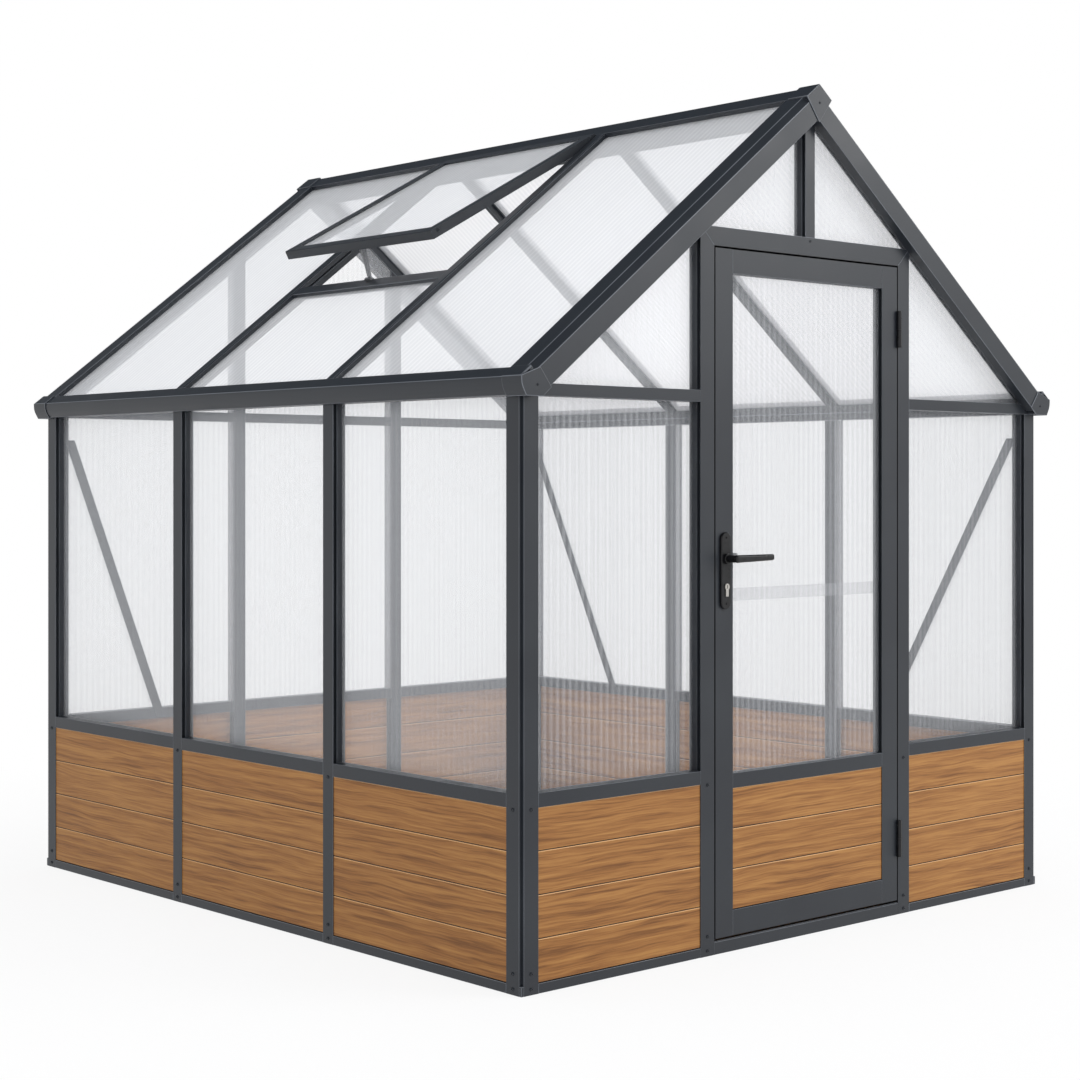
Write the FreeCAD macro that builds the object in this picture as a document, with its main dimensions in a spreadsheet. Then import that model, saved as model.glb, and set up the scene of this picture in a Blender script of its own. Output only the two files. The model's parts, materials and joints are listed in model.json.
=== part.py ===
import FreeCAD, Part
import os
import re

import Sketcher
from FreeCAD import Placement, Rotation, Vector

# Gable roof greenhouse: aluminium frame, boarded lower walls, fluted clear sheets,
# one door in the front gable and one roof vent.
# X runs across the gables, Y from the door to the back, Z up. The origin is on the
# ground in the middle of the plan. Lengths are in millimetres and angles in degrees.

# Numbers of boards in a wall bay and in the door
boards_per_bay = 4
boards_in_door = 3

# Driving dimensions
driving = {
    # Walls, measured over the outer faces of the posts
    "wall_width": 2050,
    "wall_length": 2250,
    "wall_depth": 40,
    "face_lip": 2.5,
    "gauge": 2.5,
    "board_thick": 10,
    "sheet_thick": 6,
    "sheet_front": 30,
    "fit": 0.1,
    "bite": 8,
    "play": 1,
    "corner_face": 54,
    "corner_notch": 8,
    "post_face": 44,
    "base_rail_height": 24,
    "mid_rail_bottom": 437,
    "mid_rail_height": 34,
    "gable_rail_height": 30,
    "board_tongue": 5,
    "board_groove_edge": 1.5,
    # Roof, measured from the outer roof planes, which meet above the middle
    "roof_pitch": 37.5,
    "ridge_flange": 58,
    "ridge_nose": 5,
    "eave_bottom": 1404,
    "eave_rise": 44,
    "eave_reach": 24,
    "eave_flange": 38,
    "eave_draw": 14,
    "eave_swell": 6,
    "roof_drop": 15,
    "roof_lip": 3,
    "bar_face": 34,
    "bar_stem": 15,
    "bar_depth": 44,
    "bar_edge": 3,
    "verge_reach": 30,
    "verge_bevel": 16,
    "verge_fascia": 72,
    "verge_seat": 48,
    "verge_inner": 46,
    "cap_skin": 3,
    "cap_sleeve": 68,
    # Front door frame
    "door_opening": 742,
    "frame_face": 50,
    "header_clear": 17.4,
    "sill_height": 36,
    "stop_reach": 12,
    "stop_front": 33,
    "king_face": 38,
    # Door leaf
    "door_gap": 4,
    "door_depth": 32,
    "stile_face": 65,
    "top_rail_height": 62,
    "lock_rail_bottom": 417,
    "lock_rail_height": 38,
    "bottom_rail_height": 65,
    "door_web": 2,
    "crossbar_drop": 112,
    "crossbar_height": 33,
    "crossbar_thick": 6,
    "crossbar_overlap": 12,
    # Door hinges
    "hinge_height": 102,
    "hinge_inset": 172,
    "hinge_barrel": 13,
    "hinge_pin": 6,
    "hinge_fit": 0.05,
    "hinge_wing": 1.8,
    "hinge_wing_depth": 24,
    "hinge_seam": 0.4,
    # Handle and lock
    "spindle_height": 1006,
    "lock_offset": 33,
    "plate_width": 36,
    "plate_height": 197,
    "plate_drop": 31,
    "plate_thick": 8,
    "plate_edge": 2,
    "lever_neck": 19,
    "lever_stand": 46,
    "lever_reach": 134,
    "lever_height": 20,
    "lever_tip_height": 16,
    "lever_thick": 13,
    "lever_collar": 28,
    "collar_thick": 9,
    "spindle_side": 8,
    "cylinder_drop": 72,
    "cylinder_round": 17,
    "cylinder_tongue": 10,
    "cylinder_height": 33,
    "cylinder_proud": 3,
    "plug_round": 13,
    "plug_length": 27,
    "keyway_width": 2,
    "keyway_height": 9,
    "case_width": 46,
    "case_height": 176,
    "case_thick": 17,
    "bolt_thick": 11,
    "bolt_fit": 0.3,
    "latch_rise": 30,
    "latch_height": 16,
    "latch_length": 38,
    "latch_throw": 11,
    "dead_drop": 34,
    "dead_height": 20,
    "dead_length": 36,
    "strike_thick": 1.5,
    "strike_margin": 14,
    # Roof vent
    "vent_gap": 4,
    "vent_length": 700,
    "vent_open": 9,
    "vent_axis_drop": 6,
    "vent_bead": 8,
    "vent_bead_reach": 3,
    "vent_fit": 0.06,
    "vent_rail": 30,
    "vent_top": 12,
    "vent_bottom": 14,
    "vent_sheet_top": 6,
    "vent_wall": 2,
    "transom_width": 40,
    "transom_lip": 8,
    "stay_width": 18,
    "stay_thick": 5,
    "stay_lean": 21,
    "stay_pin": 5,
    "stay_ear": 3,
    "stay_hang": 12,
    "stay_inset": 16,
    "rest_slope": 56,
    "rest_height": 10,
    "rest_foot": 15,
    "rest_width": 26,
    # Wind braces
    "brace_width": 34,
    "brace_thick": 3,
    "brace_head": 70,
    "brace_span_back": 330,
    "brace_span_front": 490,
    "brace_span_rear": 430,
}

# Sizes that follow from the driving ones
derived = {
    "half_width": "wall_width / 2",
    "half_length": "wall_length / 2",
    "groove": "bite + play",
    "board_back": "face_lip + board_thick + 2 * fit",
    "sheet_back": "sheet_front + sheet_thick + 2 * fit",
    "mid_rail_top": "mid_rail_bottom + mid_rail_height",
    "gable_rail_top": "eave_bottom + gable_rail_height",
    "side_clear": "(wall_length - 2 * corner_face - 2 * post_face) / 3",
    "side_post": "(side_clear + post_face) / 2",
    "back_clear": "(wall_width - 2 * corner_face - 2 * post_face) / 3",
    "back_post": "(back_clear + post_face) / 2",
    "jamb_in": "door_opening / 2",
    "jamb_out": "jamb_in + frame_face",
    "header_top": "ridge_height - jamb_out * tan(roof_pitch) - verge_seat / cos(roof_pitch) - header_clear",
    "header_bottom": "header_top - frame_face",
    "board_rise": f"(mid_rail_bottom - base_rail_height) / {boards_per_bay}",
    "ridge_height": "eave_bottom + eave_rise + (half_width + eave_reach) * tan(roof_pitch)",
    "roof_in": "roof_drop - fit",
    "roof_out": "roof_drop + sheet_thick + fit",
    "roof_under": "roof_out + roof_lip",
    "eave_run": "(half_width + eave_reach) / cos(roof_pitch)",
    "jaw_run": "eave_run - eave_flange",
    "bar_length": "jaw_run - ridge_flange",
    "kite_bottom": "ridge_height - ridge_flange / sin(roof_pitch)",
    "roof_length": "wall_length + 2 * verge_reach",
    "door_half": "jamb_in - door_gap",
    "door_bottom": "sill_height + door_gap",
    "door_top": "header_bottom - door_gap",
    "door_sheet_front": "board_back + door_web",
    "door_sheet_back": "door_sheet_front + sheet_thick + 2 * fit",
    "door_rail": "2 * door_half - 2 * stile_face",
    "lock_rail_top": "lock_rail_bottom + lock_rail_height",
    "door_board_rise": f"(lock_rail_bottom - door_bottom - bottom_rail_height) / {boards_in_door}",
    "lock_x": "lock_offset - door_half",
    "cylinder_z": "spindle_height - cylinder_drop",
    "crossbar_bottom": "spindle_height - crossbar_drop",
    "hinge_x": "(jamb_in + door_half) / 2",
    "hinge_y": "-half_length - hinge_barrel / 2 - fit",
    "latch_z": "spindle_height + latch_rise",
    "dead_z": "spindle_height - dead_drop",
    "case_bottom": "spindle_height + latch_rise + latch_height - case_height",
    "vent_run": "ridge_flange + vent_bead_reach",
    "vent_width": "side_clear + post_face - bar_face - 2 * vent_gap",
    "vent_slope": "roof_pitch - vent_open",
    "transom_run": "vent_run + vent_length + vent_gap",
    "stay_run": "vent_length - stay_inset",
    "stay_drop": "vent_bottom + stay_hang",
    "pin_run": "vent_run + stay_run * cos(vent_open) + stay_drop * sin(vent_open)",
    "pin_drop": "vent_axis_drop - stay_run * sin(vent_open) + stay_drop * cos(vent_open)",
    "stay_length": "(gauge - play / 2 - pin_drop - stay_width / 3 * sin(stay_lean)) / cos(stay_lean)",
    "toe_run": "pin_run - stay_width / 3 * cos(stay_lean) + stay_length * sin(stay_lean)",
    "rest_run": "toe_run - play / 2 / tan(rest_slope) + bolt_fit / sin(rest_slope)",
}

doc = FreeCAD.newDocument("greenhouse")
sheet = doc.addObject("Spreadsheet::Sheet", "dims")
for row, (alias, value) in enumerate(driving.items(), start=1):
    sheet.set(f"A{row}", alias)
    sheet.set(f"B{row}", str(value))
    sheet.setAlias(f"B{row}", alias)
doc.recompute()

# Planes that outlines are drawn in: sketch x, sketch y, direction of extrusion
planes = {
    "plan": Rotation(),
    "front": Rotation(Vector(1, 0, 0), 90),
    "side": Rotation(Vector(0, 1, 0), Vector(0, 0, 1), Vector(1, 0, 0), "XYZ"),
}
nodes = []


# Write a size in plain words as an expression on the spreadsheet
def bound(text):
    def cell(match):
        word = match.group()
        if word in derived:
            return "(" + bound(derived[word]) + ")"
        return "dims." + word if word in driving else word
    return re.sub(r"[a-z_]+", cell, str(text))


def minus(text):
    return f"-({text})"


# Point (x, z) on the left roof: run down from the apex, drop in from the outer plane
def slope(run, drop):
    x = f"-({run}) * cos(roof_pitch) + ({drop}) * sin(roof_pitch)"
    z = f"ridge_height - ({run}) * sin(roof_pitch) - ({drop}) * cos(roof_pitch)"
    return x, z


# Height of a plane parallel to the roof, x out from the middle
def roof_at(x, drop="0"):
    return f"ridge_height - ({x}) * tan(roof_pitch) - ({drop}) / cos(roof_pitch)"


# Sketch of closed outlines whose corners are bound to the spreadsheet
def outline(name, plane, *loops):
    sketch = doc.addObject("Sketcher::SketchObject", name)
    sketch.Placement = Placement(Vector(), planes[plane])
    for loop in loops:
        first = sketch.GeometryCount
        count = len(loop)
        for i in range(count):
            sketch.addGeometry(Part.LineSegment(Vector(i, i * i, 0), Vector(i + 1, (i + 1) ** 2, 0)))
        for i in range(count):
            sketch.addConstraint(Sketcher.Constraint("Coincident", first + i, 2, first + (i + 1) % count,
                                                     1))
        for i, corner in enumerate(loop):
            for kind, text in zip(("DistanceX", "DistanceY"), corner):
                index = sketch.addConstraint(Sketcher.Constraint(kind, -1, 1, first + i, 1, 1.0))
                sketch.setExpression(f"Constraints[{index}]", bound(text))
    return sketch


# Bind a placement: base point, and a turn about one axis
def place(item, at=("0", "0", "0"), axis=None, angle=None):
    if axis is not None:
        item.Placement = Placement(Vector(), Rotation(axis, 1))
        item.setExpression("Placement.Rotation.Angle", f"({bound(angle)}) * 1 deg")
    for letter, text in zip("xyz", at):
        item.setExpression(f"Placement.Base.{letter}", bound(text))
    return item


def extrude(name, sketch, length, at=("0", "0", "0"), axis=None, angle=None):
    item = doc.addObject("Part::Extrusion", name)
    item.Base = sketch
    item.DirMode = "Normal"
    item.Solid = True
    item.setExpression("LengthFwd", bound(length))
    return place(item, at, axis, angle)


def prism(name, plane, loop, length, at=("0", "0", "0"), axis=None, angle=None):
    return extrude(name, outline(name + "_outline", plane, loop), length, at, axis, angle)


def block(name, size, at):
    item = doc.addObject("Part::Box", name)
    for side, text in zip(("Length", "Width", "Height"), size):
        item.setExpression(side, bound(text))
    return place(item, at)


def rod(name, diameter, length, at, axis=None, angle=None):
    item = doc.addObject("Part::Cylinder", name)
    item.setExpression("Radius", bound(f"({diameter}) / 2"))
    item.setExpression("Height", bound(length))
    return place(item, at, axis, angle)


def mirror(name, source, normal):
    item = doc.addObject("Part::Mirroring", name)
    item.Source = source
    item.Normal = normal
    return item


def cut(name, base, *tools):
    for i, tool in enumerate(tools):
        item = doc.addObject("Part::Cut", f"{name}_{i}")
        item.Base = base
        item.Tool = tool
        base = item
    return base


def fuse(name, *shapes):
    item = doc.addObject("Part::MultiFuse", name)
    item.Shapes = list(shapes)
    return item


def gather(name, shapes):
    item = doc.addObject("Part::Compound", name)
    item.Links = list(shapes)
    return item


# Name a sub-part that is written to its own file
def node(label, *shapes):
    item = shapes[0] if len(shapes) == 1 else gather(label + "_set", shapes)
    item.Label = label
    nodes.append(item)
    return item


across = Vector(1, 0, 0)
along = Vector(0, 1, 0)
upright = Vector(0, 0, 1)
turns = {"front": 0, "right": 90, "back": 180, "left": -90}


# Point at u along a wall from its middle and d in from its outer face
def wall_point(wall, u, d, z):
    return {
        "front": (u, f"-half_length + ({d})", z),
        "back": (minus(u), f"half_length - ({d})", z),
        "left": (f"-half_width + ({d})", minus(u), z),
        "right": (f"half_width - ({d})", u, z),
    }[wall]


# Side of a wall extrusion: face lip, board groove, sheet groove, inner lip
def flank(edge, sign):
    deep = f"{edge} - {sign} * groove"
    return [
        (edge, "0"), (edge, "face_lip"), (deep, "face_lip"), (deep, "board_back"),
        (edge, "board_back"), (edge, "sheet_front"), (deep, "sheet_front"),
        (deep, "sheet_back"), (edge, "sheet_back"), (edge, "wall_depth"),
    ]


# Wall posts: symmetrical extrusion with grooves on both sides and a hollow core
def post_outline(name, face):
    core = f"{face} / 2 - groove - gauge"
    outer = flank(f"{face} / 2", 1) + flank(f"-{face} / 2", -1)[::-1]
    hollow = [(minus(core), "gauge"), (core, "gauge"), (core, "wall_depth - gauge"),
              (minus(core), "wall_depth - gauge")]
    return outline(name, "plan", outer, hollow)


post_section = post_outline("post_section", "post_face")
king_section = post_outline("king_section", "king_face")


def wall_post(name, section, wall, u, bottom, top):
    return extrude(name, section, f"({top}) - ({bottom})", wall_point(wall, u, "0", bottom), upright,
                   turns[wall])


side_posts = [wall_post(f"side_post_{i}", post_section, "left", u, "0", "eave_bottom")
              for i, u in enumerate(("side_post", "-side_post"))]
left_posts = node("side_posts_left", *side_posts)
node("side_posts_right", mirror("side_posts_mirror", left_posts, across))

# Back posts run up to the verge rafters and are cut to the roof slope
under_roof = prism("under_roof", "front", [
    ("-half_width", roof_at("half_width", "verge_seat")), ("0", roof_at("0", "verge_seat")),
    ("half_width", roof_at("half_width", "verge_seat")), ("half_width", "ridge_height"),
    ("-half_width", "ridge_height"),
], "wall_length", ("0", "half_length", "0"))
back_posts = []
for i, u in enumerate(("back_post", "-back_post")):
    tall = wall_post(f"back_post_tall_{i}", post_section, "back", u, "0", "ridge_height")
    back_posts.append(cut(f"back_post_{i}", tall, under_roof))
node("back_posts", *back_posts)

# Corner posts: two grooved legs round a hollow core, with a notch down the outer corner
near, far = "corner_notch", "corner_face"
leg = flank("corner_face", 1)
corner_loop = [(near, "0")] + leg + [("wall_depth", "wall_depth")]
corner_loop += [(q, p) for p, q in leg[::-1]] + [("0", near), (near, near)]
rim = "corner_face - groove - gauge"
back_rim = "wall_depth - gauge"
corner_core = [
    (f"{near} + gauge", "gauge"), (rim, "gauge"), (rim, back_rim), (back_rim, back_rim),
    (back_rim, rim), ("gauge", rim), ("gauge", f"{near} + gauge"), (f"{near} + gauge", f"{near} + gauge"),
]
corner_section = outline("corner_section", "plan", corner_loop, corner_core)
corner_left = extrude("corner_left", corner_section, "eave_bottom", ("-half_width", "-half_length", "0"))
front_corners = node("corner_posts_front", corner_left, mirror("corner_right", corner_left, across))
node("corner_posts_back", mirror("corner_posts_mirror", front_corners, along))

# Foot blocks that close the corner notches at the ground
foot = block("foot_left", (near, near, "base_rail_height"), ("-half_width", "-half_length", "0"))
front_feet = gather("front_feet", [foot, mirror("foot_right", foot, across)])
node("corner_feet", front_feet, mirror("back_feet", front_feet, along))

# Door frame: jambs and header share one mitred extrusion with a stop lip for the leaf
frame_loop = [("0", "0")] + flank("frame_face", 1)
frame_loop += [("-stop_reach", "wall_depth"), ("-stop_reach", "stop_front"), ("0", "stop_front")]
frame_rim = "frame_face - groove - gauge"
frame_core = [("gauge", "gauge"), (frame_rim, "gauge"), (frame_rim, "wall_depth - gauge"),
              ("gauge", "wall_depth - gauge")]
frame_section = outline("frame_section", "plan", frame_loop, frame_core)
jamb_right_long = extrude("jamb_right_long", frame_section, "header_top", ("jamb_in", "-half_length", "0"))
header_long = extrude("header_long", outline(
    "header_section", "side",
    [(d, u) for u, d in frame_loop], [(d, u) for u, d in frame_core],
), "2 * jamb_out", ("-jamb_out", "-half_length", "header_bottom"))
over = "2 * frame_face"
mitre_right = [("-frame_face", "-frame_face"), (over, over), ("-frame_face", over)]
above_mitre = prism("above_mitre", "front", mitre_right, "wall_depth",
                    ("jamb_in", "-half_length + wall_depth", "header_bottom"))
below_mitre = prism("below_mitre", "front", [(z, x) for x, z in mitre_right], "wall_depth",
                    ("jamb_in", "-half_length + wall_depth", "header_bottom"))
jamb_right = cut("jamb_right", jamb_right_long, above_mitre)
jamb_left = mirror("jamb_left", jamb_right, across)
header = cut("header", header_long, below_mitre, mirror("below_mitre_left", below_mitre, across))


# Opening for a lock bolt, level with the middle of the leaf's depth
def bolt_hole(name, height, centre, from_x, reach):
    return block(name, (reach, "bolt_thick + 2 * bolt_fit", f"{height} + 2 * bolt_fit"),
                 (from_x, "-half_length + door_depth / 2 - bolt_thick / 2 - bolt_fit",
                  f"{centre} - {height} / 2 - bolt_fit"))


def bolt_holes(name, from_x, reach):
    return (bolt_hole(name + "_latch", "latch_height", "latch_z", from_x, reach),
            bolt_hole(name + "_dead", "dead_height", "dead_z", from_x, reach))


node("door_jamb_latch", cut("jamb_drilled", jamb_left,
                            *bolt_holes("jamb_hole", "-jamb_in - 2 * gauge", "3 * gauge")))
node("door_jamb_hinge", jamb_right)
node("door_header", header)
strike_blank = block("strike_blank", (
    "strike_thick", "bolt_thick + strike_margin",
    "latch_z - dead_z + latch_height / 2 + dead_height / 2 + 2 * strike_margin",
), ("-jamb_in", "-half_length + door_depth / 2 - bolt_thick / 2 - strike_margin / 2",
    "dead_z - dead_height / 2 - strike_margin"))
node("strike_plate", cut("strike", strike_blank,
                         *bolt_holes("strike_hole", "-jamb_in - strike_thick", "3 * strike_thick")))
sill_loop = [
    ("0", "0"), ("wall_depth", "0"), ("wall_depth", "sill_height"), ("stop_front", "sill_height"),
    ("stop_front - play", "sill_height - 2 * play"), ("gauge", "sill_height - 2 * play"),
    ("0", "sill_height - 2 * gauge"),
]
sill_core = [("gauge", "gauge"), ("wall_depth - gauge", "gauge"),
             ("wall_depth - gauge", "sill_height - 3 * gauge"),
             ("gauge", "sill_height - 3 * gauge")]
sill_section = outline("sill_section", "side", sill_loop, sill_core)
sill = extrude("sill", sill_section, "door_opening", ("-jamb_in", "-half_length", "0"))
node("door_sill", cut("sill_fitted", sill, jamb_left, jamb_right))

# King post from the header to the ridge
node("king_post", wall_post("king", king_section, "front", "0", "header_top", "kite_bottom"))

# Rails: the board groove opens down or up, the sheet groove opens up or down
def rail_outline(name, plane, height, board_low, board_high, sheet_low, sheet_high):
    def dents(front, back, edge, way):
        return [(front, edge), (front, f"{edge} + {way} * groove"), (back, f"{edge} + {way} * groove"),
                (back, edge)]
    low = [("0", "0")]
    high = [("0", height)]
    if board_low:
        low += dents("face_lip", "board_back", "0", 1)
    if sheet_low:
        low += dents("sheet_front", "sheet_back", "0", 1)
    if board_high:
        high += dents("face_lip", "board_back", height, -1)
    if sheet_high:
        high += dents("sheet_front", "sheet_back", height, -1)
    loop = low + [("wall_depth", "0"), ("wall_depth", height)] + high[::-1]
    floor = "groove + gauge" if len(low) > 1 else "gauge"
    roof = f"{height} - groove - gauge" if len(high) > 1 else f"{height} - gauge"
    core = [("gauge", floor), ("wall_depth - gauge", floor), ("wall_depth - gauge", roof), ("gauge", roof)]
    return outline(name, plane, loop, core)


base_section = rail_outline("base_section", "side", "base_rail_height", False, True, False, False)
mid_section = rail_outline("mid_section", "side", "mid_rail_height", True, False, False, True)
gable_section = rail_outline("gable_section", "side", "gable_rail_height", False, False, True, True)
rail_turns = {"front": 0, "back": 180, "left": -90, "right": 90}
side_bays = [("-side_clear / 2", "side_clear"), ("side_clear / 2 + post_face", "side_clear"),
             ("-1.5 * side_clear - post_face", "side_clear")]
back_bays = [(start.replace("side", "back"), "back_clear") for start, _ in side_bays]
front_clear = "half_width - corner_face - jamb_out"
front_bays = [("corner_face - half_width", front_clear), ("jamb_out", front_clear)]
bays = {"left": side_bays, "right": side_bays, "back": back_bays, "front": front_bays}


def rails(name, section, wall, height):
    return [extrude(f"{name}_{wall}_{i}", section, clear, wall_point(wall, start, "0", height), upright,
                    rail_turns[wall])
            for i, (start, clear) in enumerate(bays[wall])]


for name, section, height in (("base_rails", base_section, "0"),
                              ("mid_rails", mid_section, "mid_rail_bottom")):
    for group, walls in (("sides", ("left", "right")), ("ends", ("front", "back"))):
        node(f"{name}_{group}", *[rail for wall in walls for rail in rails(name, section, wall, height)])

# Gable rails at eave height sit on the corner posts and meet the eave beams
beam_inner = "half_width - wall_depth"
gable_bays = {
    "front": [(minus(beam_inner), f"{beam_inner} - jamb_out"), ("jamb_out", f"{beam_inner} - jamb_out")],
    "back": [back_bays[0], ("back_clear / 2 + post_face", f"{beam_inner} - back_clear / 2 - post_face"),
             (minus(beam_inner), f"{beam_inner} - back_clear / 2 - post_face")],
}
node("gable_rails", *[
    extrude(f"gable_rail_{wall}_{i}", gable_section, clear, wall_point(wall, start, "0", "eave_bottom"),
            upright, rail_turns[wall])
    for wall in gable_bays for i, (start, clear) in enumerate(gable_bays[wall])])

# Boards: tongue on top, groove below, small bevels that show as a line at each seam
tongue_front, tongue_back = "board_thick / 3", "2 * board_thick / 3"
groove_front, groove_back = "board_thick / 3 - fit", "2 * board_thick / 3 + fit"


def board_outline(name, rise):
    bevel = "board_groove_edge"
    return outline(name, "side", [
        ("0", bevel), (bevel, "0"), (groove_front, "0"), (groove_front, "board_tongue + fit"),
        (groove_back, "board_tongue + fit"), (groove_back, "0"), ("board_thick", "0"),
        ("board_thick", rise),
        (tongue_back, rise), (tongue_back, f"{rise} + board_tongue"),
        (tongue_front, f"{rise} + board_tongue"),
        (tongue_front, rise), (bevel, rise), ("0", f"{rise} - {bevel}"),
    ])


board_section = board_outline("board_section", "board_rise")
for wall in bays:
    planks = []
    for i, (start, clear) in enumerate(bays[wall]):
        for k in range(boards_per_bay):
            at = wall_point(wall, f"{start} - bite", "face_lip + fit",
                            f"base_rail_height + {k} * board_rise")
            planks.append(extrude(f"board_{wall}_{i}_{k}", board_section, f"{clear} + 2 * bite", at,
                                  upright, rail_turns[wall]))
    node(f"wall_boards_{wall}", *planks)

# Wall sheets stand in the mid rails' upper grooves and in the grooves of the posts
for wall in bays:
    panes = []
    for i, (start, clear) in enumerate(bays[wall]):
        at = wall_point(wall, f"{start} - bite", "sheet_front + fit", "mid_rail_top - bite")
        loop = [("0", "0"), ("sheet_thick", "0"), ("sheet_thick", "eave_bottom - mid_rail_top + 2 * bite"),
                ("0", "eave_bottom - mid_rail_top + 2 * bite")]
        panes.append(prism(f"pane_{wall}_{i}", "side", loop, f"{clear} + 2 * bite", at, upright,
                           rail_turns[wall]))
    node(f"wall_sheets_{wall}", *panes)

# Gable sheets above the gable rails, cut to the roof slope
under_verge = "verge_seat - bite"
sheet_bottom = "gable_rail_top - bite"
jamb_line = "jamb_out - bite"
gable_left = [
    ("play - half_width + wall_depth", sheet_bottom), (minus(jamb_line), sheet_bottom),
    (minus(jamb_line), roof_at(jamb_line, under_verge)),
    ("play - half_width + wall_depth", roof_at("half_width - wall_depth - play", under_verge)),
]
king_line = "king_face / 2 - bite"
over_door = [
    (f"play - ({jamb_line})", "header_top - bite"), (minus(king_line), "header_top - bite"),
    (minus(king_line), f"kite_bottom - play"), (minus("king_face / 2 + bite"), f"kite_bottom - play"),
    (minus("king_face / 2 + 2 * bite"), roof_at("king_face / 2 + 2 * bite", under_verge)),
    (f"play - ({jamb_line})", roof_at(f"{jamb_line} - play", under_verge)),
]
front_pane_at = ("0", "-half_length + sheet_front + fit + sheet_thick", "0")
back_pane_at = ("0", "half_length - sheet_front - fit", "0")
pane_corner = prism("pane_corner", "front", gable_left, "sheet_thick", front_pane_at)
pane_over_door = prism("pane_over_door", "front", over_door, "sheet_thick", front_pane_at)
node("gable_sheets_front", pane_corner, mirror("pane_corner_right", pane_corner, across),
     pane_over_door, mirror("pane_over_door_right", pane_over_door, across))
post_line = "back_post + post_face / 2 - bite"
back_left = [
    ("play - half_width + wall_depth", sheet_bottom), (minus(post_line), sheet_bottom),
    (minus(post_line), roof_at(post_line, under_verge)),
    ("play - half_width + wall_depth", roof_at("half_width - wall_depth - play", under_verge)),
]
mid_line = "back_post - post_face / 2 + bite"
peak_x, peak_z = slope("ridge_flange + play", under_verge)
back_middle = [
    (minus(mid_line), sheet_bottom), (mid_line, sheet_bottom), (mid_line, roof_at(mid_line, under_verge)),
    (minus(peak_x), peak_z), ("bite", "kite_bottom - play"), ("-bite", "kite_bottom - play"),
    (peak_x, peak_z), (minus(mid_line), roof_at(mid_line, under_verge)),
]
pane_back = prism("pane_back", "front", back_left, "sheet_thick", back_pane_at)
node("gable_sheets_back", pane_back, mirror("pane_back_right", pane_back, across),
     prism("pane_back_middle", "front", back_middle, "sheet_thick", back_pane_at))

# Eave beams: swelled outer face that draws in below, sheet slot below, jaws for the roof sheets above
def eave_face(skin, steps=5):
    points = []
    for i in range(1, steps):
        share = i / steps
        reach = f"eave_reach - eave_draw * {1 - share} + eave_swell * {4 * share * (1 - share)} + {skin}"
        points.append((f"-half_width - ({reach})", f"eave_bottom + eave_rise * {share}"))
    return points


eave_loop = [
    slope("eave_run", "0"), slope("jaw_run", "0"), slope("jaw_run", "roof_in"),
    slope("jaw_run + groove", "roof_in"),
    slope("jaw_run + groove", "roof_out"), slope("jaw_run", "roof_out"),
    ("wall_depth - half_width",
     roof_at("half_width - wall_depth", "0") + " - (jaw_run * cos(roof_pitch) - half_width + wall_depth)"
     " * (tan(roof_pitch) + 1 / tan(roof_pitch))"),
    ("wall_depth - half_width", "eave_bottom"), ("sheet_back - half_width", "eave_bottom"),
    ("sheet_back - half_width", "eave_bottom + groove"),
    ("sheet_front - half_width", "eave_bottom + groove"),
    ("sheet_front - half_width", "eave_bottom"), ("eave_draw - eave_reach - half_width", "eave_bottom"),
]
eave_loop += eave_face("0")
eave_core = [
    slope("eave_run - 2 * gauge", "gauge"), slope("jaw_run + groove + gauge", "gauge"),
    slope("jaw_run + groove + gauge", "roof_out + gauge"),
    ("sheet_front - 2 * gauge - half_width", "eave_bottom + groove + 2 * gauge"),
    ("sheet_front - 2 * gauge - half_width", "eave_bottom + gauge"),
    ("eave_draw - eave_reach + gauge - half_width", "eave_bottom + gauge"),
]
eave_section = outline("eave_section", "front", eave_loop, eave_core)
eave_left = node("eave_beam_left", extrude("eave_left", eave_section, "roof_length",
                                           ("0", "roof_length / 2", "0")))
node("eave_beam_right", mirror("eave_right", eave_left, across))

# Ridge beam: kite section with jaws in its lower faces, and a hinge bead for the vent
ridge_half = [slope("ridge_nose", "0"), slope("ridge_flange", "0"), slope("ridge_flange", "roof_in"),
              slope("ridge_flange - groove", "roof_in"), slope("ridge_flange - groove", "roof_out"),
              slope("ridge_flange", "roof_out")]
ridge_loop = ridge_half + [("0", "kite_bottom")] + [(minus(x), z) for x, z in ridge_half[::-1]]
core_run = "ridge_flange - groove - 2 * gauge"
core_side = slope(core_run, "gauge")
ridge_core = [("0", "ridge_height - 2 * gauge"), core_side,
              ("0", f"ridge_height - ({core_run}) / sin(roof_pitch)"),
              (minus(core_side[0]), core_side[1])]
ridge = extrude("ridge", outline("ridge_section", "front", ridge_loop, ridge_core), "roof_length",
                ("0", "roof_length / 2", "0"))
axis_x, axis_z = slope("vent_run", "vent_axis_drop")
bead = rod("vent_bead_rod", "vent_bead", "vent_width", (axis_x, "vent_width / 2", axis_z), across, "90")
node("ridge_beam", fuse("ridge_with_bead", ridge, bead))

# Roof bars: capped T section that runs from the eave jaws to the ridge jaws
bar_x, bar_z = slope("jaw_run", "0")


def bar_half(side):
    edge = f"{side} * bar_face / 2"
    neck = f"{side} * (bar_face / 2 - groove)"
    return [(f"{side} * (bar_face / 2 - bar_edge)", "0"), (edge, "-bar_edge"), (edge, "-roof_in"),
            (neck, "-roof_in"),
            (neck, "-roof_out"), (edge, "-roof_out"), (edge, "-roof_under"),
            (f"{side} * bar_stem / 2", "-roof_under"),
            (f"{side} * bar_stem / 2", "-bar_depth")]


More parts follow.
